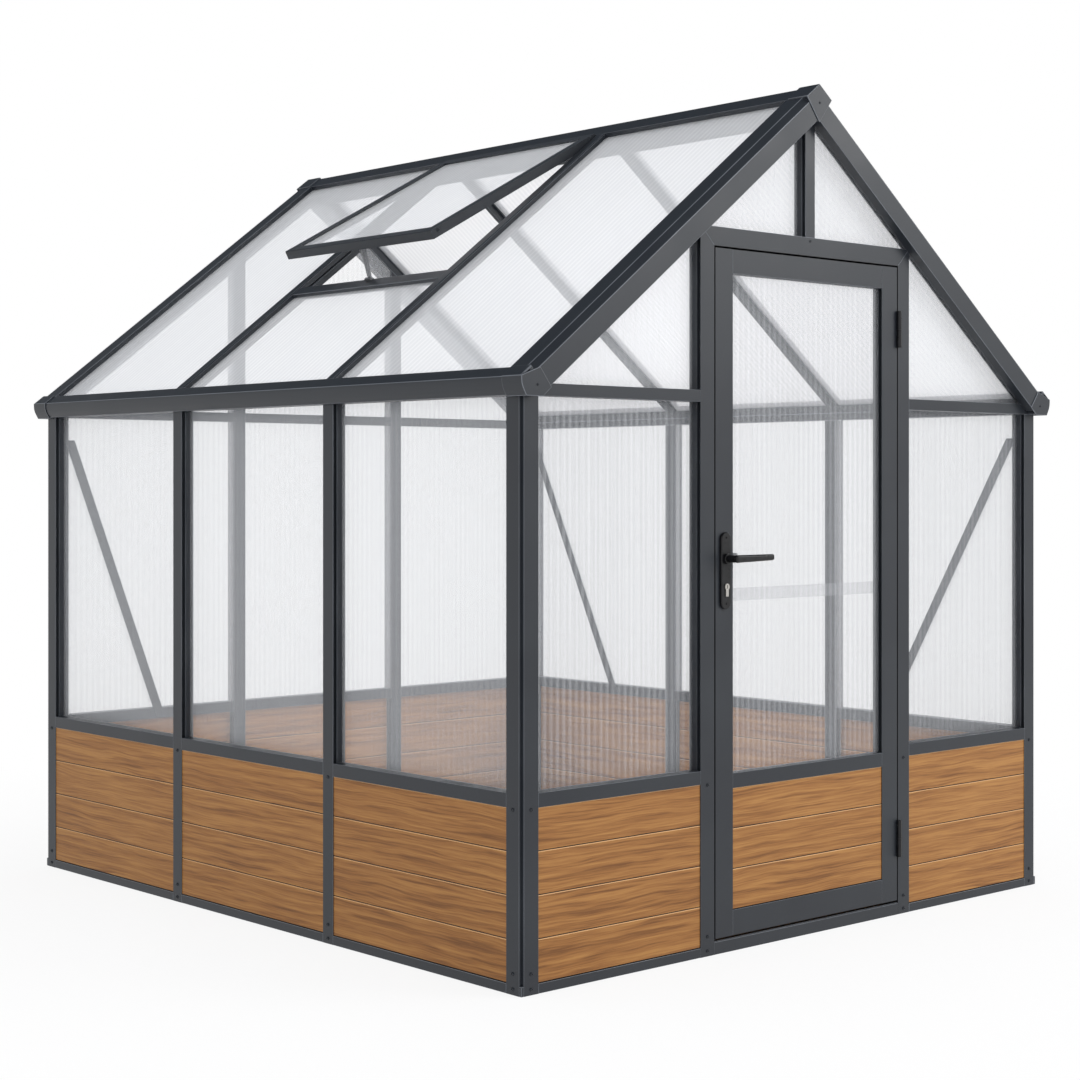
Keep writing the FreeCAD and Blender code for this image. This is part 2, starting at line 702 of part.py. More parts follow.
stem = "bar_stem / 2 - gauge"
bar_core = [(minus(stem), "-gauge"), (stem, "-gauge"), (stem, "gauge - bar_depth"),
            (minus(stem), "gauge - bar_depth")]
bar_section = outline("bar_section", "side", bar_half(1) + bar_half(-1)[::-1], bar_core)
bars = [extrude(f"roof_bar_{i}", bar_section, "bar_length", (bar_x, y, bar_z), along, "-roof_pitch")
        for i, y in enumerate(("side_post", "-side_post"))]
left_bars = gather("left_bars", bars)
node("roof_bars", left_bars, mirror("right_bars", left_bars, across))

# Verge rafters: bevelled fascia in front of the gable, sheet grooves inside and below
verge_loop = [
    ("-verge_reach", "-verge_bevel"), ("verge_bevel - verge_reach", "0"), ("verge_inner", "0"),
    ("verge_inner", "-roof_in"),
    ("verge_inner - groove", "-roof_in"), ("verge_inner - groove", "-roof_out"),
    ("verge_inner", "-roof_out"),
    ("verge_inner", "-roof_under"), ("wall_depth", "-roof_under"), ("wall_depth", "-verge_seat"),
    ("sheet_back", "-verge_seat"), ("sheet_back", "groove - verge_seat"),
    ("sheet_front", "groove - verge_seat"),
    ("sheet_front", "-verge_seat"), ("0", "-verge_seat"), ("0", "-verge_fascia"),
    ("-verge_reach", "-verge_fascia"),
]
hollow_back = "sheet_front - gauge"
verge_core = [
    ("gauge - verge_reach", "-verge_bevel - gauge / 2"),
    ("verge_bevel - verge_reach + gauge / 2", "-gauge"),
    (hollow_back, "-gauge"), (hollow_back, "groove + gauge - verge_seat"),
    ("-gauge", "groove + gauge - verge_seat"),
    ("-gauge", "gauge - verge_fascia"), ("gauge - verge_reach", "gauge - verge_fascia"),
]
verge_section = outline("verge_section", "side", verge_loop, verge_core)
verge_left = extrude("verge_left", verge_section, "bar_length", (bar_x, "-half_length", bar_z), along,
                     "-roof_pitch")
front_verges = gather("front_verges", [verge_left, mirror("verge_right", verge_left, across)])
node("verge_rafters", front_verges, mirror("back_verges", front_verges, along))


# Roof sheets lie between the bars; the vent takes the upper part of the middle bay on the left
def roof_pane(name, top, bottom, start, end):
    loop = [slope(top, "roof_drop"), slope(bottom, "roof_drop"), slope(bottom, "roof_drop + sheet_thick"),
            slope(top, "roof_drop + sheet_thick")]
    return prism(name, "front", loop, f"({end}) - ({start})", ("0", end, "0"))


sheet_top, sheet_end = "ridge_flange - bite", "jaw_run + bite"
bar_in, bar_out = "side_post - bar_face / 2 + bite", "side_post + bar_face / 2 - bite"
verge_in = "half_length - verge_inner + bite"
outer_pane = roof_pane("pane_roof_front", sheet_top, sheet_end, minus(verge_in), minus(bar_out))
outer_panes = gather("outer_panes", [outer_pane, mirror("pane_roof_back", outer_pane, along)])
below_vent = roof_pane("pane_below_vent", "transom_run + transom_width - bite", sheet_end, minus(bar_in),
                       bar_in)
full_pane = roof_pane("pane_roof_middle", sheet_top, sheet_end, minus(bar_in), bar_in)
node("roof_sheets_left", outer_panes, below_vent)
node("roof_sheets_right", mirror("outer_panes_right", outer_panes, across),
     mirror("full_pane_right", full_pane, across))

# Transom between the two bars, with a lip under the closed vent and a slot for the lower sheet
bar_clear = "side_clear + post_face - bar_face"
transom_end = "transom_run + transom_width"
transom_loop = [
    slope("transom_run", "gauge"), slope(transom_end, "gauge"), slope(transom_end, "roof_in"),
    slope(f"{transom_end} - groove", "roof_in"), slope(f"{transom_end} - groove", "roof_out"),
    slope(transom_end, "roof_out"), slope(transom_end, "roof_under"),
    slope("transom_run - transom_lip", "roof_under"),
    slope("transom_run - transom_lip", "roof_out"), slope("transom_run", "roof_out"),
]
node("vent_transom", prism("transom", "front", transom_loop, bar_clear, ("0", f"({bar_clear}) / 2", "0")))

# Ridge end caps: kite plate in front of the ridge and a sleeve over its end
lip = "cap_skin / cos(roof_pitch)"
cap_half = [slope("ridge_flange + cap_skin", minus("cap_skin"))]
kite = [("0", f"ridge_height + {lip}"), cap_half[0], ("0", f"kite_bottom - {lip}"),
        (minus(cap_half[0][0]), cap_half[0][1])]
ridge_plate = prism("ridge_plate", "front", kite, "cap_skin", ("0", "-roof_length / 2", "0"))
saddle_edge = slope("ridge_flange", minus("cap_skin"))
saddle_foot = slope("ridge_flange", "0")
saddle_top = slope("ridge_nose", "0")
saddle = [("0", f"ridge_height + {lip}"), saddle_edge, saddle_foot, saddle_top,
          (minus(saddle_top[0]), saddle_top[1]),
          (minus(saddle_foot[0]), saddle_foot[1]), (minus(saddle_edge[0]), saddle_edge[1])]
ridge_sleeve = prism("ridge_sleeve", "front", saddle, "cap_sleeve",
                     ("0", "cap_sleeve - roof_length / 2", "0"))
front_cap = fuse("ridge_cap", ridge_plate, ridge_sleeve)
node("ridge_end_caps", front_cap, mirror("ridge_cap_back", front_cap, along))

# Eave end caps: five-sided plate over the beam and rafter ends, and a sleeve round the beam
outer_top = slope("eave_run + cap_skin", minus("cap_skin"))
plate_loop = [
    outer_top, slope("jaw_run - eave_flange / 2", "verge_bevel"),
    slope("jaw_run - eave_flange / 2", "verge_fascia + cap_skin"),
    ("wall_depth - half_width", "eave_bottom - cap_skin"),
    ("eave_draw - eave_reach - cap_skin - half_width", "eave_bottom - cap_skin"),
]
plate_loop += eave_face("cap_skin")
eave_plate = prism("eave_plate", "front", plate_loop, "cap_skin", ("0", "-roof_length / 2", "0"))
sleeve_loop = [
    outer_top, slope("jaw_run", minus("cap_skin")), slope("jaw_run", "0"), slope("eave_run", "0"),
    *eave_face("0")[::-1], ("eave_draw - eave_reach - half_width", "eave_bottom"),
    ("-half_width", "eave_bottom"),
    ("-half_width", "eave_bottom - cap_skin"),
    ("eave_draw - eave_reach - cap_skin - half_width", "eave_bottom - cap_skin"),
    *eave_face("cap_skin"),
]
eave_sleeve = prism("eave_sleeve", "front", sleeve_loop, "cap_sleeve",
                    ("0", "cap_sleeve - roof_length / 2", "0"))
eave_cap = fuse("eave_cap", eave_plate, eave_sleeve)
front_caps = gather("front_caps", [eave_cap, mirror("eave_cap_right", eave_cap, across)])
node("eave_end_caps", front_caps, mirror("back_caps", front_caps, along))


# Wind braces: flat bars on the inner faces, from a corner post's head to the mid rail of its bay
def brace(name, wall, corner, side, span):
    foot_u = f"{side} * ({corner} - {span})"
    head_u = f"{side} * ({corner})"
    loop = [(f"{foot_u} - brace_width / 2", "mid_rail_bottom + gauge"),
            (f"{foot_u} + brace_width / 2", "mid_rail_bottom + gauge"),
            (f"{head_u} + brace_width / 2", "eave_bottom - brace_head"),
            (f"{head_u} - brace_width / 2", "eave_bottom - brace_head")]
    return prism(name, "front", loop, "brace_thick", wall_point(wall, "0", "wall_depth + brace_thick", "0"),
                 upright, turns[wall])


side_corner = "half_length - wall_depth - brace_width / 2"
back_corner = "half_width - wall_depth - brace_width / 2"
node("diagonal_braces", brace("brace_back", "back", back_corner, 1, "brace_span_back"),
     brace("brace_right_front", "right", side_corner, -1, "brace_span_front"),
     brace("brace_right_back", "right", side_corner, 1, "brace_span_rear"))

# Door leaf: stiles with board and sheet grooves, three rails between them
leaf_y = "-half_length"


def leaf_grooves(edge, sign, board, pane):
    deep = f"{edge} - {sign} * groove"
    points = []
    if board:
        points += [(edge, "face_lip"), (deep, "face_lip"), (deep, "board_back"), (edge, "board_back")]
    if pane:
        points += [(edge, "door_sheet_front"), (deep, "door_sheet_front"), (deep, "door_sheet_back"),
                   (edge, "door_sheet_back")]
    return points


stile_loop = [("0", "0"), ("stile_face", "0")] + leaf_grooves("stile_face", 1, True, True)
stile_loop += [("stile_face", "door_depth"), ("0", "door_depth")]
stile_rim = "stile_face - groove - gauge"
stile_core = [("gauge", "gauge"), (stile_rim, "gauge"), (stile_rim, "door_depth - gauge"),
              ("gauge", "door_depth - gauge")]
stile_section = outline("stile_section", "plan", stile_loop, stile_core)
stile = extrude("stile", stile_section, "door_top - door_bottom", ("-door_half", leaf_y, "door_bottom"))


# Rail across the leaf; low and high say whether boards or a sheet enter that edge
def leaf_rail(name, height, bottom, low, high):
    loop = [("0", "0")]
    if low:
        loop += [(d, z) for z, d in leaf_grooves("0", -1, low == "board", low == "sheet")]
    loop += [("door_depth", "0"), ("door_depth", height)]
    if high:
        loop += [(d, z) for z, d in leaf_grooves(height, 1, high == "board", high == "sheet")[::-1]]
    loop += [("0", height)]
    floor = "groove + gauge" if low else "gauge"
    roof = f"{height} - groove - gauge" if high else f"{height} - gauge"
    core = [("gauge", floor), ("door_depth - gauge", floor), ("door_depth - gauge", roof), ("gauge", roof)]
    section = outline(name + "_section", "side", loop, core)
    return extrude(name, section, "door_rail", ("stile_face - door_half", leaf_y, bottom))


node("door_rails", leaf_rail("bottom_rail", "bottom_rail_height", "door_bottom", None, "board"),
     leaf_rail("lock_rail", "lock_rail_height", "lock_rail_bottom", "board", "sheet"),
     leaf_rail("top_rail", "top_rail_height", "door_top - top_rail_height", "sheet", None))
door_board_section = board_outline("door_board_section", "door_board_rise")
node("door_boards", *[
    extrude(f"door_board_{k}", door_board_section, "door_rail + 2 * bite",
            ("stile_face - door_half - bite", f"{leaf_y} + face_lip + fit",
             f"door_bottom + bottom_rail_height + {k} * door_board_rise"))
    for k in range(boards_in_door)])
node("door_sheet", block("door_pane", (
    "door_rail + 2 * bite", "sheet_thick", "door_top - top_rail_height - lock_rail_top + 2 * bite",
), ("stile_face - door_half - bite", f"{leaf_y} + door_sheet_front + fit", "lock_rail_top - bite")))
node("door_crossbar", block("crossbar", ("door_rail + 2 * crossbar_overlap", "crossbar_thick",
                                         "crossbar_height"),
                            ("stile_face - door_half - crossbar_overlap", f"{leaf_y} + door_depth",
                             "crossbar_bottom")))

# Lift-off hinges: the frame half carries the pin, the leaf half drops over it
half_hinge = "(hinge_height - hinge_seam) / 2"
wing_y = "-half_length + hinge_wing_depth - hinge_y"
hinge_levels = ("door_bottom + hinge_inset - hinge_height / 2", "door_top - hinge_inset - hinge_height / 2")


def hinge_half(name, level, lift, wing_x):
    barrel = rod(name + "_barrel", "hinge_barrel", half_hinge, ("hinge_x", "hinge_y", f"{level} + {lift}"))
    wing = block(name + "_wing", ("hinge_wing", wing_y, half_hinge),
                 (wing_x, "hinge_y", f"{level} + {lift}"))
    return barrel, wing


frame_halves, leaf_halves = [], []
for i, level in enumerate(hinge_levels):
    pin = rod(f"hinge_pin_{i}", "hinge_pin", "hinge_height - 2 * play", ("hinge_x", "hinge_y", level))
    frame_halves.append(fuse(f"hinge_frame_{i}", pin,
                             *hinge_half(f"hinge_low_{i}", level, "0", "jamb_in - hinge_wing")))
    bore = rod(f"hinge_bore_{i}", "hinge_pin + 2 * hinge_fit", half_hinge,
               ("hinge_x", "hinge_y", f"{level} + {half_hinge} + hinge_seam"))
    leaf_half = fuse(f"hinge_leaf_solid_{i}",
                     *hinge_half(f"hinge_high_{i}", level, f"{half_hinge} + hinge_seam", "door_half"))
    leaf_halves.append(cut(f"hinge_leaf_{i}", leaf_half, bore))
node("hinge_frame_halves", *frame_halves)
node("hinge_leaf_halves", *leaf_halves)


# Lock: case in the hollow stile, profile cylinder with a turning plug, sprung latch and dead bolt
# Profile cylinder outline: round top with a tongue below, run through the leaf
def cylinder_form(name, spare, front, length):
    top = rod(name + "_top", f"cylinder_round + 2 * {spare}", length, ("lock_x", front, "cylinder_z"),
              across, "-90")
    tongue = block(name + "_tongue", (f"cylinder_tongue + 2 * {spare}", length,
                                      f"cylinder_height - cylinder_round / 2 + {spare}"),
                   (f"lock_x - cylinder_tongue / 2 - {spare}", front,
                    f"cylinder_z - cylinder_height + cylinder_round / 2 - {spare}"))
    return fuse(name, top, tongue)


leaf_front = "-half_length - plate_thick - cylinder_proud"
leaf_through = "door_depth + 2 * plate_thick + 2 * cylinder_proud"
cylinder_hole = cylinder_form("cylinder_hole", "fit", leaf_front, leaf_through)
collar_hole = rod("collar_hole", "lever_neck + 2 * bolt_fit", leaf_through,
                  ("lock_x", leaf_front, "spindle_height"), across, "-90")
stile_drilled = cut("stile_drilled", stile, cylinder_hole, collar_hole,
                    *bolt_holes("stile_hole", "-door_half - gauge", "3 * gauge"))
node("door_stiles", stile_drilled, mirror("stile_hinge", stile, across))

case_front = "-half_length + door_depth / 2 - case_thick / 2"
case_blank = block("case_blank", ("case_width", "case_thick", "case_height"),
                   ("gauge - door_half", case_front, "case_bottom"))
node("lock_case", cut("case", case_blank, cylinder_hole, collar_hole,
                      *bolt_holes("case_hole", "gauge - door_half", "latch_length + latch_throw")))
plug_bore = rod("plug_bore", "plug_round + 2 * hinge_fit", "plug_length",
                ("lock_x", leaf_front, "cylinder_z"), across, "-90")
node("lock_cylinder", cut("cylinder", cylinder_form("cylinder_blank", "0", leaf_front, leaf_through),
                          plug_bore))
plug_blank = rod("plug_blank", "plug_round", "plug_length - fit", ("lock_x", leaf_front, "cylinder_z"),
                 across, "-90")
keyway = block("keyway", ("keyway_width", "plug_length / 2", "keyway_height"),
               ("lock_x - keyway_width / 2", leaf_front, "cylinder_z - keyway_height / 2"))
node("cylinder_plug", cut("plug", plug_blank, keyway))

bolt_front = "-half_length + door_depth / 2 - bolt_thick / 2"
latch_nose = [
    ("0", "0"), ("latch_length", "0"), ("latch_length", "bolt_thick"), ("latch_throw", "bolt_thick"),
    ("0", "bolt_thick / 3"),
]
node("latch_bolt", prism("latch", "plan", latch_nose, "latch_height",
                         ("-door_half - latch_throw", bolt_front, "latch_z - latch_height / 2")))
node("dead_bolt", block("dead", ("dead_length", "bolt_thick", "dead_height"),
                        ("-door_half", bolt_front, "dead_z - dead_height / 2")))


# Handles: rounded back plates on both faces, levers on one square spindle
def rounded(name, body_items):
    body = doc.addObject("PartDesign::Body", name)
    plane = next(item for item in body.Origin.OriginFeatures if item.Role == "XZ_Plane")
    sketch = body.newObject("Sketcher::SketchObject", name + "_outline")
    sketch.AttachmentSupport = [(plane, "")]
    sketch.MapMode = "FlatFace"
    body_items(sketch)
    return body, sketch


# Slot outline: two straight sides closed by half rounds
def plate_shape(sketch):
    sketch.addGeometry(Part.LineSegment(Vector(-18, -80, 0), Vector(-18, 80, 0)))
    sketch.addGeometry(Part.LineSegment(Vector(18, 80, 0), Vector(18, -80, 0)))
    sketch.addGeometry(Part.ArcOfCircle(Part.Circle(Vector(0, 80, 0), Vector(0, 0, 1), 18), 0, 3.14159))
    sketch.addGeometry(Part.ArcOfCircle(Part.Circle(Vector(0, -80, 0), Vector(0, 0, 1), 18), 3.14159,
                                        6.28318))
    for line, end, arc, arc_end in ((0, 2, 2, 2), (1, 1, 2, 1), (0, 1, 3, 1), (1, 2, 3, 2)):
        sketch.addConstraint(Sketcher.Constraint("Tangent", line, end, arc, arc_end))
    sketch.addConstraint(Sketcher.Constraint("Vertical", 0))
    sketch.addConstraint(Sketcher.Constraint("PointOnObject", 2, 3, -2))
    for text, constraint in (
            ("plate_width / 2", Sketcher.Constraint("Radius", 2, 18)),
            ("plate_height / 2 - plate_width / 2", Sketcher.Constraint("DistanceY", -1, 1, 2, 3, 80)),
            ("plate_height - plate_width", Sketcher.Constraint("DistanceY", 3, 3, 2, 3, 160))):
        index = sketch.addConstraint(constraint)
        sketch.setExpression(f"Constraints[{index}]", bound(text))


plate_body, plate_sketch = rounded("plate_body", plate_shape)
plate_pad = plate_body.newObject("PartDesign::Pad", "plate_pad")
plate_pad.Profile = plate_sketch
plate_pad.setExpression("Length", bound("plate_thick"))
doc.recompute()
front_faces = [i for i, edge in enumerate(plate_pad.Shape.Edges, start=1)
               if abs(edge.BoundBox.YMin + driving["plate_thick"]) < 0.01 and edge.BoundBox.YLength < 0.01]
plate_chamfer = plate_body.newObject("PartDesign::Chamfer", "plate_chamfer")
plate_chamfer.Base = (plate_pad, [f"Edge{i}" for i in front_faces])
plate_chamfer.setExpression("Size", bound("plate_edge"))
place(plate_body, ("lock_x", "-half_length", "spindle_height - plate_drop"))
plate_outer = cut("plate_outer", plate_body, cylinder_hole, collar_hole)


# Mirror of an outer handle piece in the middle of the leaf's depth
def to_inside(name, source):
    item = mirror(name, source, along)
    item.setExpression("Base.y", bound("-half_length + door_depth / 2"))
    return item


node("handle_plates", plate_outer, to_inside("plate_inner", plate_outer))

lever_y = "-half_length - plate_thick - lever_stand"
neck = rod("lever_neck_rod", "lever_neck", "lever_stand + plate_thick",
           ("lock_x", lever_y, "spindle_height"), across, "-90")
collar = rod("lever_collar_disc", "lever_collar", "collar_thick",
             ("lock_x", "-half_length - plate_thick - fit - collar_thick", "spindle_height"), across, "-90")
grip = prism("lever_grip", "front", [
    ("-lever_neck / 2", "-lever_height / 2"), ("lever_neck", "-lever_height / 2"),
    ("lever_reach", "lever_height / 2 - lever_tip_height"),
    ("lever_reach", "lever_height / 2"), ("-lever_neck / 2", "lever_height / 2"),
], "lever_thick", ("lock_x", f"{lever_y} + lever_thick", "spindle_height"))
lever_blank = fuse("lever_blank", neck, collar, grip)
doc.recompute()
tip_edges = [(i, driving["lever_thick"] / 3, driving["lever_thick"] / 3)
             for i, edge in enumerate(lever_blank.Shape.Edges, start=1)
             if edge.BoundBox.XMin > -driving["door_opening"] / 2 + driving["lever_reach"]
             and edge.BoundBox.XLength < 0.01]
lever = doc.addObject("Part::Fillet", "lever_outer")
lever.Base = lever_blank
lever.Edges = tip_edges
spindle = block("spindle", ("spindle_side", "door_depth", "spindle_side"),
                ("lock_x - spindle_side / 2", "-half_length", "spindle_height - spindle_side / 2"))
node("door_lever", lever, spindle, to_inside("lever_inner", lever))

# Roof vent, drawn about its hinge axis: x runs up the leaf, z out of the roof
vent_at = (axis_x, "0", axis_z)


# Piece that runs along Y on the vent leaf
def vent_prism(name, loop, length, side_y):
    sketch = outline(name + "_outline", "front", loop)
    sketch.setExpression("Placement.Base.y", bound(side_y))
    return extrude(name, sketch, length, vent_at, along, "-vent_slope")


pane_low = "vent_sheet_top - sheet_thick"
hook_reach = "vent_bead_reach - play / 2"
top_loop = [
    ("0", "vent_top"), ("0", "0"), (hook_reach, "0"), (hook_reach, "-vent_bottom"),
    ("-vent_rail", "-vent_bottom"),
    ("-vent_rail", f"{pane_low} - fit"), ("groove - vent_rail", f"{pane_low} - fit"),
    ("groove - vent_rail", "vent_sheet_top + fit"), ("-vent_rail", "vent_sheet_top + fit"),
    ("-vent_rail", "vent_top"),
]
top_solid = vent_prism("vent_top_solid", top_loop, "vent_width", "vent_width / 2")
bead_bore = rod("vent_bead_bore", "vent_bead + 2 * vent_fit", "vent_width",
                (axis_x, "vent_width / 2", axis_z), across, "90")
vent_top_rail = cut("vent_top_rail", top_solid, bead_bore)
nose_loop = [
    ("-vent_length", "vent_top - vent_wall"), ("vent_wall - vent_length", "vent_top"),
    ("vent_rail - vent_length", "vent_top"),
    ("vent_rail - vent_length", "vent_sheet_top + fit"),
    ("vent_rail - groove - vent_length", "vent_sheet_top + fit"),
    ("vent_rail - groove - vent_length", f"{pane_low} - fit"),
    ("vent_rail - vent_length", f"{pane_low} - fit"),
    ("vent_rail - vent_length", "-vent_bottom"), ("-vent_length", "-vent_bottom"),
]
vent_bottom_rail = vent_prism("vent_bottom_rail", nose_loop, "vent_width", "vent_width / 2")
side_in = "vent_width / 2 - vent_rail"
side_loop = [
    ("vent_width / 2", "vent_top"), (side_in, "vent_top"), (side_in, "vent_sheet_top + fit"),
    (f"{side_in} + groove", "vent_sheet_top + fit"),
    (f"{side_in} + groove", f"{pane_low} - fit"), (side_in, f"{pane_low} - fit"), (side_in, "-vent_bottom"),
    ("vent_width / 2", "-vent_bottom"),
]
side_sketch = outline("vent_side_outline", "side", side_loop)
side_sketch.setExpression("Placement.Base.x", bound("vent_rail - vent_length"))
vent_side = extrude("vent_side", side_sketch, "vent_length - 2 * vent_rail", vent_at, along, "-vent_slope")
node("vent_frame", vent_top_rail, vent_bottom_rail, vent_side, mirror("vent_side_front", vent_side, along))
pane_end = "vent_rail - bite"
vent_pane = [(minus(pane_end), "vent_sheet_top"), (f"{pane_end} - vent_length", "vent_sheet_top"),
             (f"{pane_end} - vent_length", pane_low), (minus(pane_end), pane_low)]
node("vent_sheet", vent_prism("vent_pane", vent_pane, f"vent_width - 2 * ({pane_end})",
                              f"vent_width / 2 - ({pane_end})"))

# Stay: two ears and a pin under the bottom rail, an arm that stands on a rest on the transom
ear_loop = [("stay_width / 2 - stay_run", "-vent_bottom"), ("-stay_width / 2 - stay_run", "-vent_bottom"),
            ("-stay_width / 2 - stay_run", "-stay_drop - stay_pin"),
            ("stay_width / 2 - stay_run", "-stay_drop - stay_pin")]
ear_gap = "stay_thick / 2 + bolt_fit"
ears = [vent_prism("stay_ear_back", ear_loop, "stay_ear", f"{ear_gap} + stay_ear"),
        vent_prism("stay_ear_front", ear_loop, "stay_ear", minus(ear_gap))]
pin_x, pin_z = slope("pin_run", "pin_drop")
pin_length = f"2 * ({ear_gap}) + 2 * stay_ear"
stay_pin = rod("stay_pin_rod", "stay_pin", pin_length, (pin_x, f"({pin_length}) / 2", pin_z), across, "90")
node("stay_bracket", fuse("stay_ears", *ears, stay_pin))
arm_loop = [("-stay_width / 2", "stay_width / 3"),
            ("-stay_width / 3", "2 * stay_width / 3 * tan(rest_slope - stay_lean) - stay_length"),
            ("stay_width / 3", "-stay_length"), ("stay_width / 2", "stay_width / 3")]
arm_sketch = outline("stay_arm_outline", "front", arm_loop)
arm_sketch.setExpression("Placement.Base.y", bound("stay_thick / 2"))
arm_blank = extrude("stay_arm", arm_sketch, "stay_thick", (pin_x, "0", pin_z), along,
                    "stay_lean - roof_pitch")
arm_bore = rod("stay_bore", "stay_pin + 2 * hinge_fit", "2 * stay_thick", (pin_x, "stay_thick", pin_z),
               across, "90")
node("vent_stay", cut("stay", arm_blank, arm_bore))
rest_back = "rest_height / tan(rest_slope)"
rest_loop = [slope("rest_run", "gauge"), slope(f"rest_run + {rest_back}", "gauge - rest_height"),
             slope("rest_run + rest_foot", "gauge - rest_height"), slope("rest_run + rest_foot", "gauge")]
node("stay_rest", prism("rest", "front", rest_loop, "rest_width", ("0", "rest_width / 2", "0")))

doc.recompute()
for item in doc.Objects:
    if "Invalid" in item.State or "Error" in item.State:
        raise RuntimeError(f"{item.Label} did not recompute: {item.State}")
for item in nodes:
    if item.Shape.isNull() or not item.Shape.isValid():
        raise RuntimeError(f"{item.Label} has no valid shape")

os.makedirs("parts", exist_ok=True)
for item in nodes:
    item.Shape.exportStep(f"parts/{item.Label}.step")
    print(f"{item.Label}: {len(item.Shape.Solids)} solids, {item.Shape.Volume / 1000:.1f} cm3")
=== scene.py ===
import json
import math

import bmesh
import bpy
from mathutils import Matrix, Vector


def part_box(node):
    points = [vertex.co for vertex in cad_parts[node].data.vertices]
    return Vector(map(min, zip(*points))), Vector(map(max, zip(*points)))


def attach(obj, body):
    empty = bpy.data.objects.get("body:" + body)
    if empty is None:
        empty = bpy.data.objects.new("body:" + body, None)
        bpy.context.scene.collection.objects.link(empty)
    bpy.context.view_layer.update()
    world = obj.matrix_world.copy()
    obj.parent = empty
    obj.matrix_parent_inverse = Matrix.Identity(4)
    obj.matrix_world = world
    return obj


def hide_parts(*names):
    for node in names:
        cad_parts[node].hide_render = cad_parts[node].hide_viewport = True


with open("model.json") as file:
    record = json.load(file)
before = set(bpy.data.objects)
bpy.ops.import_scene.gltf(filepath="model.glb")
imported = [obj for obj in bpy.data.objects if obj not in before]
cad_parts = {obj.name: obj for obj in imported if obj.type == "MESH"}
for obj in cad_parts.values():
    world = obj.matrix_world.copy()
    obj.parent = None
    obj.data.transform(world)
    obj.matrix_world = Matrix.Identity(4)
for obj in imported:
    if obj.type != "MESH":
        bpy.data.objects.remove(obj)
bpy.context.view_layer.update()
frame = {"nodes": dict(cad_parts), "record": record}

nodes = frame["nodes"]
behaviour = frame["record"]["behaviour"]
bodyOf = {name: body for body, names in behaviour["bodies"].items() for name in names}
slotOf = {part["node"]: part["material_slot"] for part in frame["record"]["subparts"]}
jointAt = {joint["name"]: joint.get("pos_m") for joint in behaviour["joints"]}
print("greenhouse: frame loaded,", len(nodes), "nodes")


# One wrapped socket, so that shader maths reads as plain sums
class Flow:
    def __init__(self, finish, socket):
        self.finish = finish
        self.socket = socket

    def sum(self, operation, first, second=0.0):
        return self.finish.add("Math", {"operation": operation}, {0: first, 1: second})

    def __add__(self, other):
        return self.sum("ADD", self, other)

    def __radd__(self, other):
        return self.sum("ADD", other, self)

    def __sub__(self, other):
        return self.sum("SUBTRACT", self, other)

    def __rsub__(self, other):
        return self.sum("SUBTRACT", other, self)

    def __mul__(self, other):
        return self.sum("MULTIPLY", self, other)

    def __rmul__(self, other):
        return self.sum("MULTIPLY", other, self)

    def __truediv__(self, other):
        return self.sum("DIVIDE", self, other)

    def __rtruediv__(self, other):
        return self.sum("DIVIDE", other, self)

    def __lt__(self, other):
        return self.sum("LESS_THAN", self, other)

    def __gt__(self, other):
        return self.sum("GREATER_THAN", self, other)

    def __pow__(self, other):
        return self.sum("POWER", self, other)

    def floor(self):
        return self.sum("FLOOR", self)

    def wave(self):  # 1 at whole numbers, 0 half way between them
        return self.sum("COSINE", self * math.tau) * 0.5 + 0.5

    def part(self):  # what is left after the whole number
        return self.sum("FRACT", self)

    def spread(self, low, high, toLow=0.0, toHigh=1.0):
        return self.finish.add("MapRange", {"clamp": True}, {0: self, 1: low, 2: high, 3: toLow, 4: toHigh})


# A material and the one method that adds nodes to it
class Finish:
    def __init__(self, name, world=None):
        self.material = world or bpy.data.materials.new(name)
        self.material.use_nodes = True
        self.tree = self.material.node_tree
        self.tree.nodes.clear()
        self.end = self.tree.nodes.new("ShaderNodeOutputWorld" if world else "ShaderNodeOutputMaterial")

    def feed(self, socket, value):
        if isinstance(value, Flow):
            self.tree.links.new(value.socket, socket)
        elif isinstance(value, tuple) and len(value) == 3 and socket.type == "RGBA":
            socket.default_value = (*value, 1.0)
        else:
            socket.default_value = value

    def add(self, kind, settings=None, sockets=None, out=0):
        node = self.tree.nodes.new("ShaderNode" + kind)
        for name, value in (settings or {}).items():
            if name == "stops":
                ramp = node.color_ramp
                while len(ramp.elements) < len(value):
                    ramp.elements.new(0.5)
                for element, (place, colour) in zip(ramp.elements, value):
                    element.position = place
                    element.color = (*colour, 1.0)
            else:
                setattr(node, name, value)
        for key, value in (sockets or {}).items():
            self.feed(node.inputs[key], value)
        return Flow(self, node.outputs[out])

    def place(self):  # object coordinates
        return self.add("TexCoord", out=3)

    def axes(self):
        spot = self.place()
        return [self.add("SeparateXYZ", sockets={0: spot}, out=i) for i in range(3)]

    def vector(self, x, y, z):
        return self.add("CombineXYZ", sockets={0: x, 1: y, 2: z})

    def noise(self, at, scale, detail=2.0, rough=0.5, twist=0.0):
        return self.add("TexNoise", sockets={"Vector": at, "Scale": scale, "Detail": detail, "Roughness": rough,
                                             "Distortion": twist})

    def chance(self, number):  # one random value for each number
        return self.add("TexWhiteNoise", {"noise_dimensions": "1D"}, {"W": number})

    def mix(self, share, first, second):
        return self.add("Mix", {"data_type": "RGBA"}, {0: share, 6: first, 7: second}, out=2)

    def bump(self, height, strength, distance):
        return self.add("Bump", sockets={"Height": height, "Strength": strength, "Distance": distance})

    def show(self, shader):
        self.tree.links.new(shader.socket, self.end.inputs[0])
        return self.material

    def surface(self, **sockets):
        words = {key.replace("_", " "): value for key, value in sockets.items()}
        return self.show(self.add("BsdfPrincipled", sockets=words))


